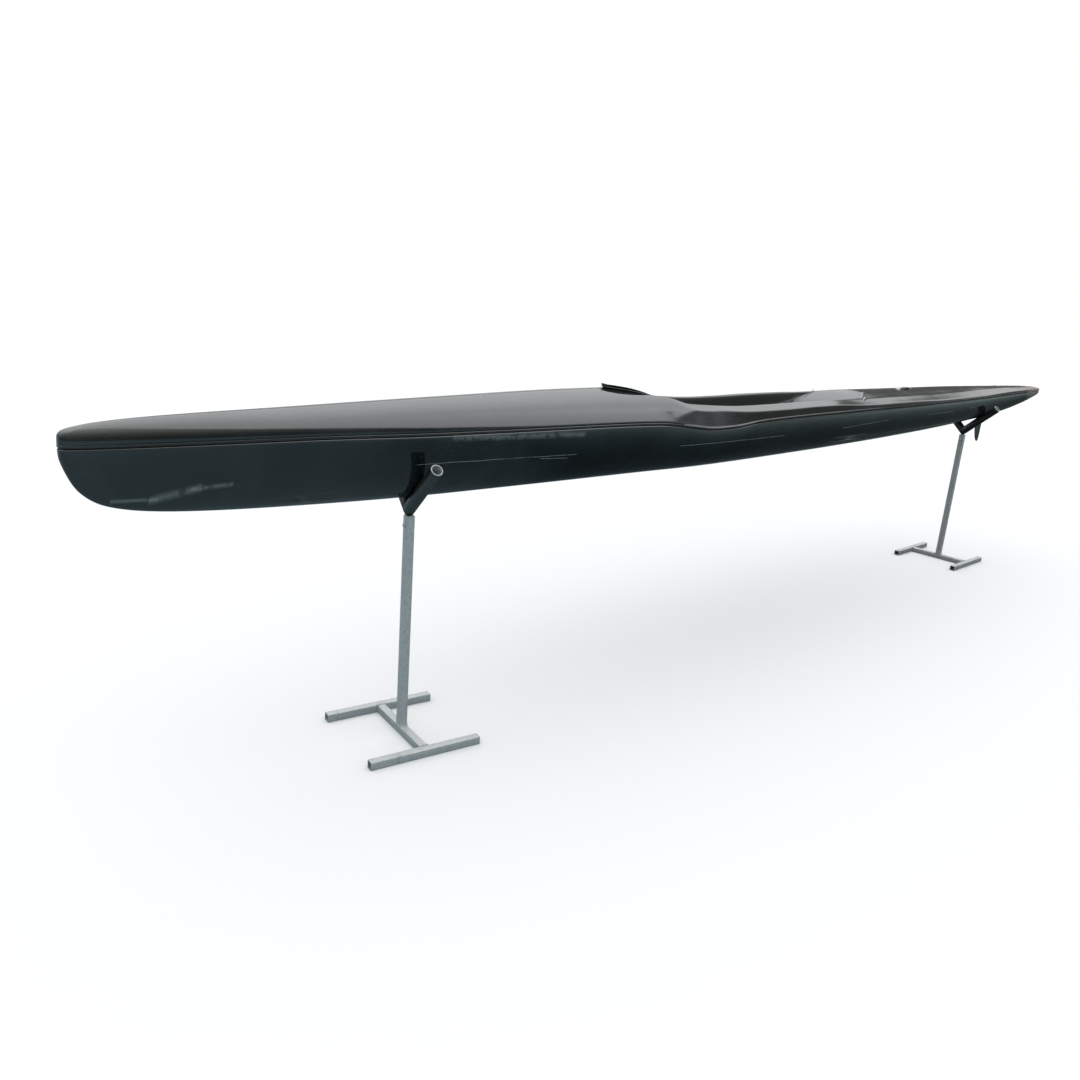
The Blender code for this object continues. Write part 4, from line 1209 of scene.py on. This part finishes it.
# %% Splash deflector
LIP_HEIGHT = 0.019
LIP_HALF = 0.002
LIP_LEAN = 0.012
LIP_SPREAD = 0.098
LIP_BACK = 0.005
LIP_SINK = 0.004
LIP_LEAST = 0.001
LIP_FALL = 4.0
LIP_TOP = 0.10
LIP_INSIDE = 0.5
LIP_POINTS = 97
LIP_TOP_POINTS = 9
FRONT_MARKS_END = -1.0
FRONT_MARKS_SPARE = 0.02
RIDGE_SHARE = 0.56
RIDGE_RADIUS = 0.0011
# Grey of the painted highlight on the bead's crest.
RIDGE_HIGHLIGHT_GREY = (0.10, 0.105, 0.11)
LIP_FACE = (
    (0.0, 0.0030), (0.14, 0.0012), (0.26, 0.0), (0.42, 0.0), (0.45, 0.0016),
    (0.52, 0.0016), (0.58, 0.0), (0.75, 0.0), (0.90, 0.0),
)


def deck_top(x, y):
    """Height of the finished deck at matching arrays of x and y, without the cockpit."""
    return DeckLines(x).top(np.abs(y)[:, None])[:, 0]


def lip_surface(share, bulge):
    """Grid of the lip along the cockpit's front edge.

    Each column has a share of the height and a bulge outward. The lean outward grows with the share,
    and falls with the square of the distance from the middle.
    """
    marks = column(TUB, TUB_COLUMNS, "half_width")[1:]
    widest = LIP_SPREAD + FRONT_MARKS_SPARE
    front = [(width, x) for x, width in marks if width < widest and x < FRONT_MARKS_END]
    t = np.linspace(-1.0, 1.0, LIP_POINTS)
    y = LIP_SPREAD * t
    x = through(front, np.maximum(np.abs(y), front[0][0]))
    out = np.stack([-np.gradient(y), np.gradient(x)], 1)
    out /= np.linalg.norm(out, axis=1, keepdims=True)
    x = x + LIP_BACK * out[:, 0]
    y = y + LIP_BACK * out[:, 1]
    foot = deck_top(x, y) - LIP_SINK
    height = LIP_SINK + LIP_HEIGHT * (1 - np.abs(t) ** LIP_FALL) + LIP_LEAST
    away = bulge[None] + (LIP_LEAN * (1 - t ** 2))[:, None] * share[None]
    place = np.stack([x, y], 1)[:, None] + away[..., None] * out[:, None]
    level = foot[:, None] + height[:, None] * share[None]
    return np.concatenate([place, level[..., None]], 2)


def lip_grid():
    """The lip's section: up the outer face by LIP_FACE, over a round top, and down the inner face."""
    face = np.array(LIP_FACE)
    arc = np.linspace(0.0, math.pi, LIP_TOP_POINTS)[1:-1]
    share = np.concatenate([face[:, 0], 1 - LIP_TOP + LIP_TOP * np.sin(arc), face[::-1, 0]])
    outside = LIP_HALF + face[:, 1]
    inside = -LIP_HALF - LIP_INSIDE * face[::-1, 1]
    return lip_surface(share, np.concatenate([outside, LIP_HALF * np.cos(arc), inside]))


def crest_strip_grid():
    """A thin round section along the crest of the bead on the lip's outer face, which carries the painted
    highlight.
    """
    path = lip_surface(np.array([RIDGE_SHARE]), np.array([LIP_HALF + RIDGE_RADIUS / 2]))[:, 0]
    return swept(path, ring(2 * RIDGE_RADIUS, 2 * RIDGE_RADIUS, count=THIN_POINTS), (0, 0, 1))


splash_lip = piece_from_grids("splash_lip", [lip_grid()], cap=True)
dress(splash_lip, gelcoat, replaces=("splash_deflector",), sharp=50)
# The grey strip on the bead is a painted highlight.
ridge_highlight = make_plain("ridge_painted_highlight", RIDGE_HIGHLIGHT_GREY, 0.4)
dress(piece_from_grids("lip_highlight_strip", [crest_strip_grid()], cap=True), ridge_highlight)

# %% [markdown]
# Small deck fittings: a low grab handle behind the cockpit, and two eyelets for a leash.
# They are bars with round corners, bent to half an ellipse, each on two small domed pads.
# The frame gives each one's place, length and height. The table gives the bar's width, thickness and
# roundness, and the pad's radius.
# Half a torus would be simpler, but it is round, and these bows are low and long.

# %% Handle and eyelets
STEEL_STRETCH = (40.0, 900.0, 900.0)
STEEL_GREY = (0.42, 0.43, 0.44, 1.0)
STEEL_METAL = 0.9
STEEL_BRUSHED = (0.2, 0.8)
STEEL_ROUGH = (0.28, 0.48)
ARCH_POINTS = 41
PAD_POINTS = 28
PAD_EDGE = 0.0008
PAD_DOME = 0.0016
PAD_TOP = 0.0018
PAD_DOME_SHARE = 0.85


def stretched(tree, scale):
    """Object coordinates scaled by axis."""
    return add(tree, "ShaderNodeMapping", {"Vector": object_place(tree), "Scale": scale}).outputs[0]


def make_steel():
    """Bright stainless steel with fine brushing along it."""
    material, tree, shader = new_material("plain_steel")
    brushed = noise(tree, stretched(tree, STEEL_STRETCH), 1.0)
    shader.inputs["Base Color"].default_value = STEEL_GREY
    shader.inputs["Metallic"].default_value = STEEL_METAL
    tree.links.new(eased(tree, brushed, *STEEL_BRUSHED, *STEEL_ROUGH), shader.inputs["Roughness"])
    return material


def arch_path(span, rise, thickness):
    """Half ellipse in x and z through the middle of a band."""
    a = np.linspace(math.pi, 0.0, ARCH_POINTS)
    x = (span - thickness) / 2 * np.cos(a)
    z = (rise - thickness / 2) * np.sin(a)
    return np.stack([x, 0 * x, z], 1)


def pad_outline(radius):
    """(radius, height) points of a flat disc with a low dome."""
    inner = PAD_DOME_SHARE * radius
    return ((0.0, 0.0), (radius, 0.0), (radius, PAD_EDGE), (inner, PAD_DOME), (0.0, PAD_TOP))


def seat_of(node):
    """Middle of a node's box in x and y, at its lowest height."""
    low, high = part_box(node)
    return np.array([(low.x + high.x) / 2, (low.y + high.y) / 2, low.z])


def size_of(node):
    """The three sides of a node's box."""
    low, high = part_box(node)
    return high - low


plastic = make_plain("black_fitting", (0.018, 0.018, 0.019), 0.45, 0.25)
# The aft handle is pale grey all over: a painted highlight in place of the bright highlights on it.
highlight_pale_plastic = make_plain("highlight_pale_fitting", (0.34, 0.34, 0.33), 0.4, 0.2)
steel = make_steel()
FITTINGS = (
    # The handle's pale finish is a painted highlight.
    ("aft_handle", 0.022, 0.003, 3.0, 0.0130, highlight_pale_plastic, "black_fitting"),
    ("eyelet_left", 0.004, 0.004, 2.0, 0.0055, steel, "plain_steel"),
    ("eyelet_right", 0.004, 0.004, 2.0, 0.0055, steel, "plain_steel"),
)
for node, width, bar, power, pad, finish, slot in FITTINGS:
    seat = seat_of(node)
    size = size_of(node)
    bow = seat + arch_path(size.x, size.z, bar)
    feet = [seat + np.array([way * (size.x - bar) / 2, 0.0, 0.0]) for way in (-1, 1)]
    pads = [lathed(pad_outline(pad), PAD_POINTS, foot) for foot in feet]
    piece = piece_from_grids(f"{node}_bow", [swept(bow, ring(width, bar, power), (0, 1, 0))], cap=True)
    dress(piece, finish, replaces=(node,), sharp=50)
    dress(piece_from_grids(f"{node}_pads", pads), finish, sharp=50)

# %% [markdown]
# The drain plug is a low grey disc, turned from an outline, with a sunk face and a bar across it to grip.
# A cylinder with an inset face would do. The turned outline has the softened edge in it already.

# %% Drain plug
PLUG_POINTS = 40
PLUG_OUTLINE = (
    (0.0, 0.000), (0.0170, 0.000), (0.0170, 0.0092), (0.0162, 0.0100), (0.0120, 0.0100), (0.0112, 0.0088),
    (0.0, 0.0088),
)
GRIP_PATH = ((-0.0100, 0.0, 0.0092), (-0.0095, 0.0, 0.0096), (0.0095, 0.0, 0.0096), (0.0100, 0.0, 0.0092))
GRIP_WIDTH = 0.003
GRIP_HEIGHT = 0.0016

plug_seat = seat_of("drain_plug")
grip = plug_seat + np.array(GRIP_PATH)
grey_plastic = make_plain("grey_fitting", (0.16, 0.16, 0.155), 0.4, 0.2)
plug_body = piece_from_grids("plug_body", [lathed(PLUG_OUTLINE, PLUG_POINTS, plug_seat)])
dress(plug_body, grey_plastic, replaces=("drain_plug",), sharp=40)
grip_section = ring(GRIP_WIDTH, GRIP_HEIGHT, 3.0, 16)
plug_grip = piece_from_grids("plug_grip", [swept(grip, grip_section, (0, 1, 0))], cap=True)
dress(plug_grip, grey_plastic, sharp=50)

# %% [markdown]
# The foot brace, the strap and the bailer keep their CAD shapes, which are plain plates, bars and discs.
# They need only their finishes, and so do the rudder's stock and the stands' stems.
# The webbing's weave is two crossed waves, one for each set of threads, and its colour carries a painted
# shade where the weave is low.

# %% Foot brace and bailer finishes
LONG_RIBS = 3600.0
SHORT_RIBS = 2400.0
WEAVE_SPAN = (-0.2, 1.0)
WEB_GROOVE_SHADE = (0.006, 0.006, 0.007, 1.0)
WEB_CREST_TONE = (0.035, 0.035, 0.037, 1.0)
WEB_ROUGH = 0.9
WEB_BUMP = 0.5
WEB_BUMP_HEIGHT = 0.0006


def make_webbing():
    """Woven band: its height is the greater of two crossed sine ribs, and the colour is painted darker where
    it is low, as painted shade in the grooves.
    """
    material, tree, shader = new_material("webbing")
    at = add(tree, "ShaderNodeSeparateXYZ", {0: object_place(tree)}).outputs
    long_ribs = maths(tree, "SINE", maths(tree, "MULTIPLY", at["Y"], LONG_RIBS))
    run = maths(tree, "ADD", at["X"], at["Z"])
    short_ribs = maths(tree, "SINE", maths(tree, "MULTIPLY", run, SHORT_RIBS))
    weave = maths(tree, "MAXIMUM", long_ribs, short_ribs)
    # Painted shade: the colour is darker where the weave is low, in its grooves.
    shade = eased(tree, weave, *WEAVE_SPAN)
    tree.links.new(mixed(tree, shade, WEB_GROOVE_SHADE, WEB_CREST_TONE), shader.inputs["Base Color"])
    shader.inputs["Roughness"].default_value = WEB_ROUGH
    bumped(tree, shader, weave, WEB_BUMP, WEB_BUMP_HEIGHT)
    return material


webbing = make_webbing()
KEPT = (
    (plastic, ("footplate", "pedal_left", "pedal_right", "bailer")),
    (steel, ("foot_rail_left", "foot_rail_right", "rudder_stock", "bow_stand_stem", "stern_stand_stem")),
    (webbing, ("foot_strap",)),
)
for finish, names in KEPT:
    for name in names:
        node = NODES[name]
        node.data.materials.clear()
        node.data.materials.append(finish)
print("kept CAD shapes:", [name for finish, names in KEPT for name in names])

# %% [markdown]
# The rudder blade is a thin foil. Each level is a lens whose nose is blunter than its tail,
# and the levels shrink to a swept tip.
# It swings about the stock, so it rides on the rudder's body. A bush in the hull carries the stock.
# Shaped from a cube it would need many loops to hold the thin tail, which the lens has in its formula.

# %% Rudder blade
BLADE_TOP = 0.938
BLADE_TIP = 0.772
BLADE_CHORD = 0.100
BLADE_THICKNESS = 0.015
BLADE_AHEAD = 0.045
BLADE_POWER = 2.2
BLADE_END = 0.06
BLADE_RAKE = 0.78
BLADE_SWEEP = 0.010
TIP_THINNESS = 0.25
TAIL_THINNING = 0.35
BLADE_LEVELS = 48
BLADE_POINTS = 56
BUSH_OUTLINE = ((0.0045, 0.0), (0.0110, 0.0), (0.0120, 0.0012), (0.0120, 0.0120), (0.0045, 0.0120))
BUSH_SHOWS = 0.0022
RUDDER_X = seat_of("rudder_stock")[0]


def blade_grid():
    """Lens sections from the top down; the chord shrinks by the root of one less depth to the power 2.2.

    Round a section by its angle, the share of the chord is half of one less the cosine, and the half
    thickness goes with the sine, less towards the tail.
    """
    level = np.sin(np.linspace(0.0, 1.0, BLADE_LEVELS) * math.pi / 2)[:, None]
    shrink = np.sqrt(np.maximum(1 - level ** BLADE_POWER, 0.0)) * (1 - BLADE_END) + BLADE_END
    chord = BLADE_CHORD * shrink
    nose = RUDDER_X - BLADE_AHEAD + (BLADE_CHORD - chord) * BLADE_RAKE + BLADE_SWEEP * level
    thick = BLADE_THICKNESS * (TIP_THINNESS + (1 - TIP_THINNESS) * (1 - level)) * shrink
    a = np.linspace(0.0, 2 * math.pi, BLADE_POINTS, endpoint=False)[None]
    back = (1 - np.cos(a)) / 2
    x = nose + chord * back
    y = thick / 2 * np.sin(a) * (1 - TAIL_THINNING * back)
    z = BLADE_TOP + (BLADE_TIP - BLADE_TOP) * level + 0 * x
    return np.stack([x, y, z], 2)


foil = piece_from_grids("rudder_foil", [blade_grid()], cap=True)
rudder_gelcoat = make_gelcoat("rudder_gelcoat", marked_side=False)
dress(foil, rudder_gelcoat, RUDDER, ("rudder_blade",), sharp=60)
keel_there = float(line("keel", np.array([RUDDER_X]))[0])
bush_place = (RUDDER_X, 0.0, keel_there - BUSH_SHOWS)
bush = piece_from_grids("rudder_bush", [lathed(BUSH_OUTLINE, 32, bush_place)], loop_rows=True)
dress(bush, plastic, sharp=40)

# %% [markdown]
# Both trestle stands are alike: two foot bars, a cross bar, a post and a V of two arms in rubber sleeves.
# Square tube is drawn with rounded corners and open ends. Its grid goes along the outside and back inside.
# A cube with a Bevel modifier would be quicker, but it is solid, and here the open ends show the wall.

# %% Square tube
TUBE = 0.030
TUBE_WALL = 0.0025
TUBE_CORNER = 0.0035
TUBE_CHAMFER = 0.0006
BORE_CORNER = 0.0015
POINTS_PER_CORNER = 5


def square_ring(half, corner):
    """Square section with round corners, as u and v: a quarter circle about each corner's own centre."""
    a = np.linspace(0.0, math.pi / 2, POINTS_PER_CORNER)
    parts = []
    for k in range(4):
        turn = a + k * math.pi / 2
        middle = k * math.pi / 2 + math.pi / 4
        centre = (half - corner) * np.sign([math.cos(middle), math.sin(middle)])
        parts.append(centre + corner * np.stack([np.cos(turn), np.sin(turn)], 1))
    return np.concatenate(parts)


def tube_grid(start, end, u, v):
    """Open square tube from start to end, whose sides lie along u and v."""
    start, end, u, v = (np.asarray(q, float) for q in (start, end, u, v))
    along = (end - start) / np.linalg.norm(end - start) * TUBE_CHAMFER
    outer = square_ring(TUBE / 2, TUBE_CORNER)
    lip = square_ring(TUBE / 2 - TUBE_CHAMFER, TUBE_CORNER - TUBE_CHAMFER)
    bore = square_ring(TUBE / 2 - TUBE_WALL, BORE_CORNER)
    rows = ((start, bore), (start, lip), (start + along, outer),
            (end - along, outer), (end, lip), (end, bore))
    return np.stack([place + q[:, :1] * u + q[:, 1:] * v for place, q in rows])


print("an open tube's grid is", tube_grid((0, 0, 0), (1, 0, 0), (0, 1, 0), (0, 0, 1)).shape)

# %% [markdown]
# A weld is laid down dab by dab, so its bead swells and narrows along the joint.
# It is a round section, swept along the joint's edges, which are first cut into short steps.
# A plain round curve would look like wire: the swelling is what makes it look like a weld.

# %% Weld bead
WELD_RADIUS = 0.0026
WELD_SWELL = 0.22
WELD_DAB = 0.0042
WELD_STEP = 0.001


def weld_grid(path, side, closed=False):
    """A round section along a path; its radius swells by a sine of the distance travelled."""
    path = np.asarray(path, float)
    step = np.linalg.norm(np.diff(path, axis=0, prepend=path[:1]), axis=1)
    dab = 1 + WELD_SWELL * np.sin(np.cumsum(step) / WELD_DAB * 2 * math.pi)
    section = ring(2 * WELD_RADIUS, 2 * WELD_RADIUS, count=THIN_POINTS)[None] * dab[:, None, None]
    return swept(path, section, side, closed)


def finely(corners):
    """Straight lines between corners, cut into short steps."""
    corners = np.asarray(corners, float)
    length = np.concatenate([[0.0], np.cumsum(np.linalg.norm(np.diff(corners, axis=0), axis=1))])
    at = np.linspace(0.0, length[-1], int(length[-1] / WELD_STEP) + 2)
    return np.stack([np.interp(at, length, corners[:, k]) for k in range(3)], 1)


print("a path of four tube widths is cut into", len(finely(((0, 0, 0), (4 * TUBE, 0, 0)))), "points")

# %% [markdown]
# Three finishes belong to the stands.
# The zinc coat is dull and cool grey, with the faint patchwork of its crystals and darker runs.
# The sleeves are black rubber hose, a little shiny on their upper curve.
# The welds are zinc coated too, but rough and lumpy.
# A photo of zinc would repeat along the tubes. Voronoi cells don't repeat, and they look like crystals.

# %% Stand finishes
ZINC = (0.365, 0.386, 0.386, 1.0)
ZINC_PALE = (0.475, 0.496, 0.494, 1.0)
ZINC_STAIN = (0.20, 0.21, 0.21, 1.0)
ZINC_METAL = 0.35
CRYSTAL_SCALE = 160.0
CRYSTAL_ROUGH = 0.12
RUN_STRETCH = (30.0, 30.0, 5.0)
RUN_SPAN = (0.55, 0.80)
RUN_SHARE = 0.5


def make_zinc(name, rough, bump, scale):
    """Zinc coat: a Voronoi cell shades each crystal, and a noise stretched upright makes the runs."""
    material, tree, shader = new_material(name)
    place = object_place(tree)
    crystals = add(tree, "ShaderNodeTexVoronoi", {"Vector": place, "Scale": CRYSTAL_SCALE})
    cell = add(tree, "ShaderNodeSeparateColor", {0: crystals.outputs["Color"]}).outputs[0]
    runs = eased(tree, noise(tree, stretched(tree, RUN_STRETCH), 1.0, RICH, GRITTY), *RUN_SPAN)
    tone = mixed(tree, cell, ZINC, ZINC_PALE)
    tone = mixed(tree, maths(tree, "MULTIPLY", runs, RUN_SHARE), tone, ZINC_STAIN)
    tree.links.new(tone, shader.inputs["Base Color"])
    shader.inputs["Metallic"].default_value = ZINC_METAL
    tree.links.new(maths(tree, "MULTIPLY_ADD", cell, CRYSTAL_ROUGH, rough), shader.inputs["Roughness"])
    bumped(tree, shader, noise(tree, place, scale, LAYERED), bump, GRAIN_HEIGHT)
    return material


zinc = make_zinc("galvanised_tube", 0.50, 0.12, 60.0)
weld = make_zinc("weld", 0.65, 0.6, 500.0)
rubber = make_plain("black_sleeve", (0.010, 0.011, 0.010), 0.36, 0.35, 260.0)
print("stand finishes ready:", zinc.name, weld.name, rubber.name)

# %% [markdown]
# Each stand is made about its own post, and its sizes are read from the frame.
# The bow stand is turned a few degrees, so its foot bar's length is worked out from the box and the turn.
# Two copies of one stand would do, but each has its own height, so both are made by the same functions.

# %% Stand bars and welds
STANDS = {"bow_stand": math.radians(-8.35), "stern_stand": 0.0}
SIDES = ((-1, "left"), (1, "right"))
ZINC_SLOT = "galvanised_tube"
LOOPED = {"loop_rows": True}
CAPPED = {"cap": True}
JOINT_GAP = 0.0004
WELD_OUT = 0.0006
WELD_BACK = 0.0004
WELD_FOOT = 0.004


def stand_sizes(name):
    """Length of a foot bar, half length of the cross bar, half spacing of the feet, and the post's ends."""
    foot = size_of(f"{name}_left_foot")
    turn = STANDS[name]
    length = (foot.x - TUBE * abs(math.sin(turn))) / math.cos(turn)
    left, right = (seat_of(f"{name}_{end}_foot")[:2] for _, end in SIDES)
    apart = float(np.linalg.norm(right - left)) / 2
    post_low, post_high = (corner.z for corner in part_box(f"{name}_post"))
    return length, apart - TUBE / 2 - JOINT_GAP, apart, post_low, post_high


def zinc_tube(grid, node):
    """Entry for a tube that stands for a node: grids, finish, slot, replaced nodes and options."""
    return [grid], zinc, ZINC_SLOT, (node,), LOOPED


def bar_pieces(name, length, inner, apart, post_low, post_high):
    """Two foot bars, the cross bar between them and the post on it, as {piece: entry}."""
    mid = TUBE / 2
    out = {}
    for side, end in SIDES:
        y = side * apart
        grid = tube_grid((-length / 2, y, mid), (length / 2, y, mid), (0, 1, 0), (0, 0, 1))
        out[f"{end}_foot_tube"] = zinc_tube(grid, f"{name}_{end}_foot")
    grid = tube_grid((0, -inner, mid), (0, inner, mid), (1, 0, 0), (0, 0, 1))
    out["cross_tube"] = zinc_tube(grid, f"{name}_cross_bar")
    grid = tube_grid((0, 0, post_low), (0, 0, post_high), (1, 0, 0), (0, 1, 0))
    out["post_tube"] = zinc_tube(grid, f"{name}_post")
    return out


def weld_pieces(inner, post_low):
    """Beads over both ends of the cross bar and round the post's foot, as {piece: entry}."""
    h = TUBE / 2 + WELD_OUT
    beads = []
    for side, _ in SIDES:
        y = side * (inner - WELD_BACK)
        corners = ((-h, y, WELD_FOOT), (-h, y, TUBE), (h, y, TUBE), (h, y, WELD_FOOT))
        beads.append(weld_grid(finely(corners), (0, 1, 0)))
    z = post_low
    loop = finely(((-h, -h, z), (h, -h, z), (h, h, z), (-h, h, z), (-h, -h, z)))
    around = weld_grid(loop[:-1], (0, 0, 1), True)
    return {
        "foot_welds": (beads, weld, ZINC_SLOT, (), CAPPED),
        "post_weld": ([around], weld, ZINC_SLOT, (), LOOPED),
    }


print("the stern stand's foot bar is", round(stand_sizes("stern_stand")[0], 3), "m long")

# %% [markdown]
# The axes of the two arms cross above the post, and each arm is cut where it meets the other's half.
# That cut is a mitre, and below it both are cut flat, so that they sit on the post.
# The sleeves are cut the same way, but follow their own larger radius.
# A Boolean could make the cut, but leaves long thin faces. Here the end row has the cut's place by angle.

# %% Arms and sleeves
ARM_ANGLE = math.radians(43.0)
ARM_RADIUS = 0.020
ARM_WALL = 0.003
ARM_CHAMFER = 0.0008
ARM_POINTS = 48
SLEEVE_RADIUS = 0.0225
SLEEVE_ROWS = 90
SLEEVE_SHORT = 0.003
SLEEVE_PLAY = 0.0004
MITRE_GAP = 0.0004
HEAD_CUT = 0.0235
WRINKLE = 0.0005
WRINKLE_STEP = 0.021
WRINKLE_SWAY = 1.5
WRINKLE_TWIST = 5.0
PATCHES_ROUND = 2.0
PATCH_TWIST = 9.0
END_ROLL = 0.0018
END_ROLL_DEPTH = 0.0014
MITRE_REACH = 0.006
MITRE_SHRINK = 0.0008


def arm_frame(side):
    """Unit vectors along an arm, across it along the boat, and across it upward."""
    along = np.array([0.0, side * math.cos(ARM_ANGLE), math.sin(ARM_ANGLE)])
    up = np.array([0.0, -side * math.sin(ARM_ANGLE), math.cos(ARM_ANGLE)])
    return along, np.array([1.0, 0.0, 0.0]), up


def arm_point(cross, side, radius, angle, distance):
    """Points round an arm's axis; distance is along it from where the arms cross."""
    along, across, up = arm_frame(side)
    ringed = np.cos(angle)[..., None] * across + np.sin(angle)[..., None] * up
    return np.array([0.0, 0.0, cross]) + distance[..., None] * along + radius[..., None] * ringed


def mitre(radius, angle):
    """Distance along an arm at which it meets the other arm's half, or the flat cut under both."""
    meeting = (MITRE_GAP / 2 + radius * np.sin(angle) * math.sin(ARM_ANGLE)) / math.cos(ARM_ANGLE)
    flat_cut = (-HEAD_CUT - radius * np.sin(angle) * math.cos(ARM_ANGLE)) / math.sin(ARM_ANGLE)
    return np.maximum(meeting, flat_cut)


def arm_grid(cross, side, reach):
    """One arm tube: bore and outside at the mitre, then the chamfered open end from outside to bore."""
    angle = np.linspace(0.0, 2 * math.pi, ARM_POINTS, endpoint=False)
    bore = ARM_RADIUS - ARM_WALL
    open_end = ((ARM_RADIUS, ARM_CHAMFER), (ARM_RADIUS - ARM_CHAMFER, 0.0), (bore + ARM_CHAMFER, 0.0),
                (bore, ARM_CHAMFER))
    rows = []
    for radius in (bore, ARM_RADIUS):
        radii = np.full(ARM_POINTS, radius)
        rows.append(arm_point(cross, side, radii, angle, mitre(radii, angle)))
    for radius, short in open_end:
        radii = np.full(ARM_POINTS, radius)
        rows.append(arm_point(cross, side, radii, angle, np.full(ARM_POINTS, reach - short)))
    return np.stack(rows)


def sleeve_grid(cross, side, reach):
    """Rubber sleeve over an arm: wrinkles as two crossed sines, a rolled outer end and a soft mitre."""
    angle = np.linspace(0.0, 2 * math.pi, ARM_POINTS, endpoint=False)[None]
    share = np.linspace(0.0, 1.0, SLEEVE_ROWS)[:, None]
    start = mitre(SLEEVE_RADIUS + 0 * angle, angle)
    distance = start + (reach - start) * share
    sway = WRINKLE_SWAY * np.sin(angle + WRINKLE_TWIST * share)
    patches = np.sin(angle * PATCHES_ROUND + PATCH_TWIST * share)
    wave = np.sin(2 * math.pi * distance / WRINKLE_STEP + sway) * patches
    to_end = np.clip((reach - distance) / END_ROLL, 0.0, 1.0)
    to_mitre = np.exp(-((distance - start) / MITRE_REACH) ** 2)
    rolled = END_ROLL_DEPTH * (1 - np.sqrt(1 - (1 - to_end) ** 2))
    radius = SLEEVE_RADIUS - WRINKLE * (1 + wave) / 2 - rolled - MITRE_SHRINK * to_mitre
    outer = arm_point(cross, side, radius, angle + 0 * share, distance)
    bore = np.full(ARM_POINTS, ARM_RADIUS + SLEEVE_PLAY)
    end_rows = [arm_point(cross, side, bore, angle[0], np.full(ARM_POINTS, float(reach))),
                arm_point(cross, side, bore, angle[0], mitre(bore, angle[0]))]
    return np.concatenate([outer, np.stack(end_rows)])


def arm_pieces(name, cross, reach):
    """Both arms and both sleeves, as {piece: entry}."""
    out = {}
    for side, end in SIDES:
        out[f"{end}_arm_tube"] = zinc_tube(arm_grid(cross, side, reach), f"{name}_{end}_arm")
        sleeve = sleeve_grid(cross, side, reach - SLEEVE_SHORT)
        out[f"{end}_arm_sleeve"] = ([sleeve], rubber, "black_sleeve", (f"{name}_{end}_sleeve",), LOOPED)
    return out


print("an arm's outside starts at", mitre(np.full(2, ARM_RADIUS), np.array([0.0, math.pi / 2])).round(4))

# %% [markdown]
# A hexagon bolt clamps the stem in each post. Its head is turned like the washer, but in six steps.
# A cylinder of six sides would lack the head's chamfered edge.
# Last, every grid of a stand is turned about its post and moved to its place, which comes from the frame.

# %% Both stands
WASHER_OUTLINE = ((0.0040, 0.0), (0.0085, 0.0), (0.0085, 0.0010), (0.0080, 0.0014), (0.0040, 0.0014))
HEAD_OUTLINE = (
    (0.0, 0.0012), (0.0070, 0.0012), (0.0072, 0.0016), (0.0072, 0.0054), (0.0062, 0.0062), (0.0, 0.0062),
)
HEAD_SIDES = 6


def bolt_grids(z):
    """Hexagon head on a washer, on the bow side of the post."""
    place = (-TUBE / 2, 0.0, z)
    return [lathed(WASHER_OUTLINE, PAD_POINTS, place, (-1, 0, 0), (0, 1, 0)),
            lathed(HEAD_OUTLINE, HEAD_SIDES, place, (-1, 0, 0), (0, 1, 0))]


def placed(grid, name):
    """A stand's own grid, turned about its post and moved to its place along the boat."""
    turn = STANDS[name]
    c = math.cos(turn)
    s = math.sin(turn)
    x = seat_of(f"{name}_stem")[0]
    return grid @ np.array([[c, s, 0], [-s, c, 0], [0, 0, 1]]) + np.array([x, 0, 0])


def make_stand(name):
    """All pieces of one stand, each set in its place and dressed."""
    length, inner, apart, post_low, post_high = stand_sizes(name)
    cross = post_high + MITRE_GAP + HEAD_CUT
    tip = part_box(f"{name}_left_arm")[1].z
    reach = (tip - cross - ARM_RADIUS * math.cos(ARM_ANGLE)) / math.sin(ARM_ANGLE)
    bolt_low, bolt_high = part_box(f"{name}_bolt")
    bolt = bolt_grids((bolt_low.z + bolt_high.z) / 2)
    parts = {
        **bar_pieces(name, length, inner, apart, post_low, post_high),
        **weld_pieces(inner, post_low),
        **arm_pieces(name, cross, reach),
        "clamp_bolt": (bolt, steel, "plain_steel", (f"{name}_bolt",), {}),
    }
    for label, (grids, finish, slot, replaced, options) in parts.items():
        piece = piece_from_grids(f"{name}_{label}", [placed(grid, name) for grid in grids], **options)
        dress(piece, finish, replaces=replaced, sharp=35)


for name in STANDS:
    make_stand(name)
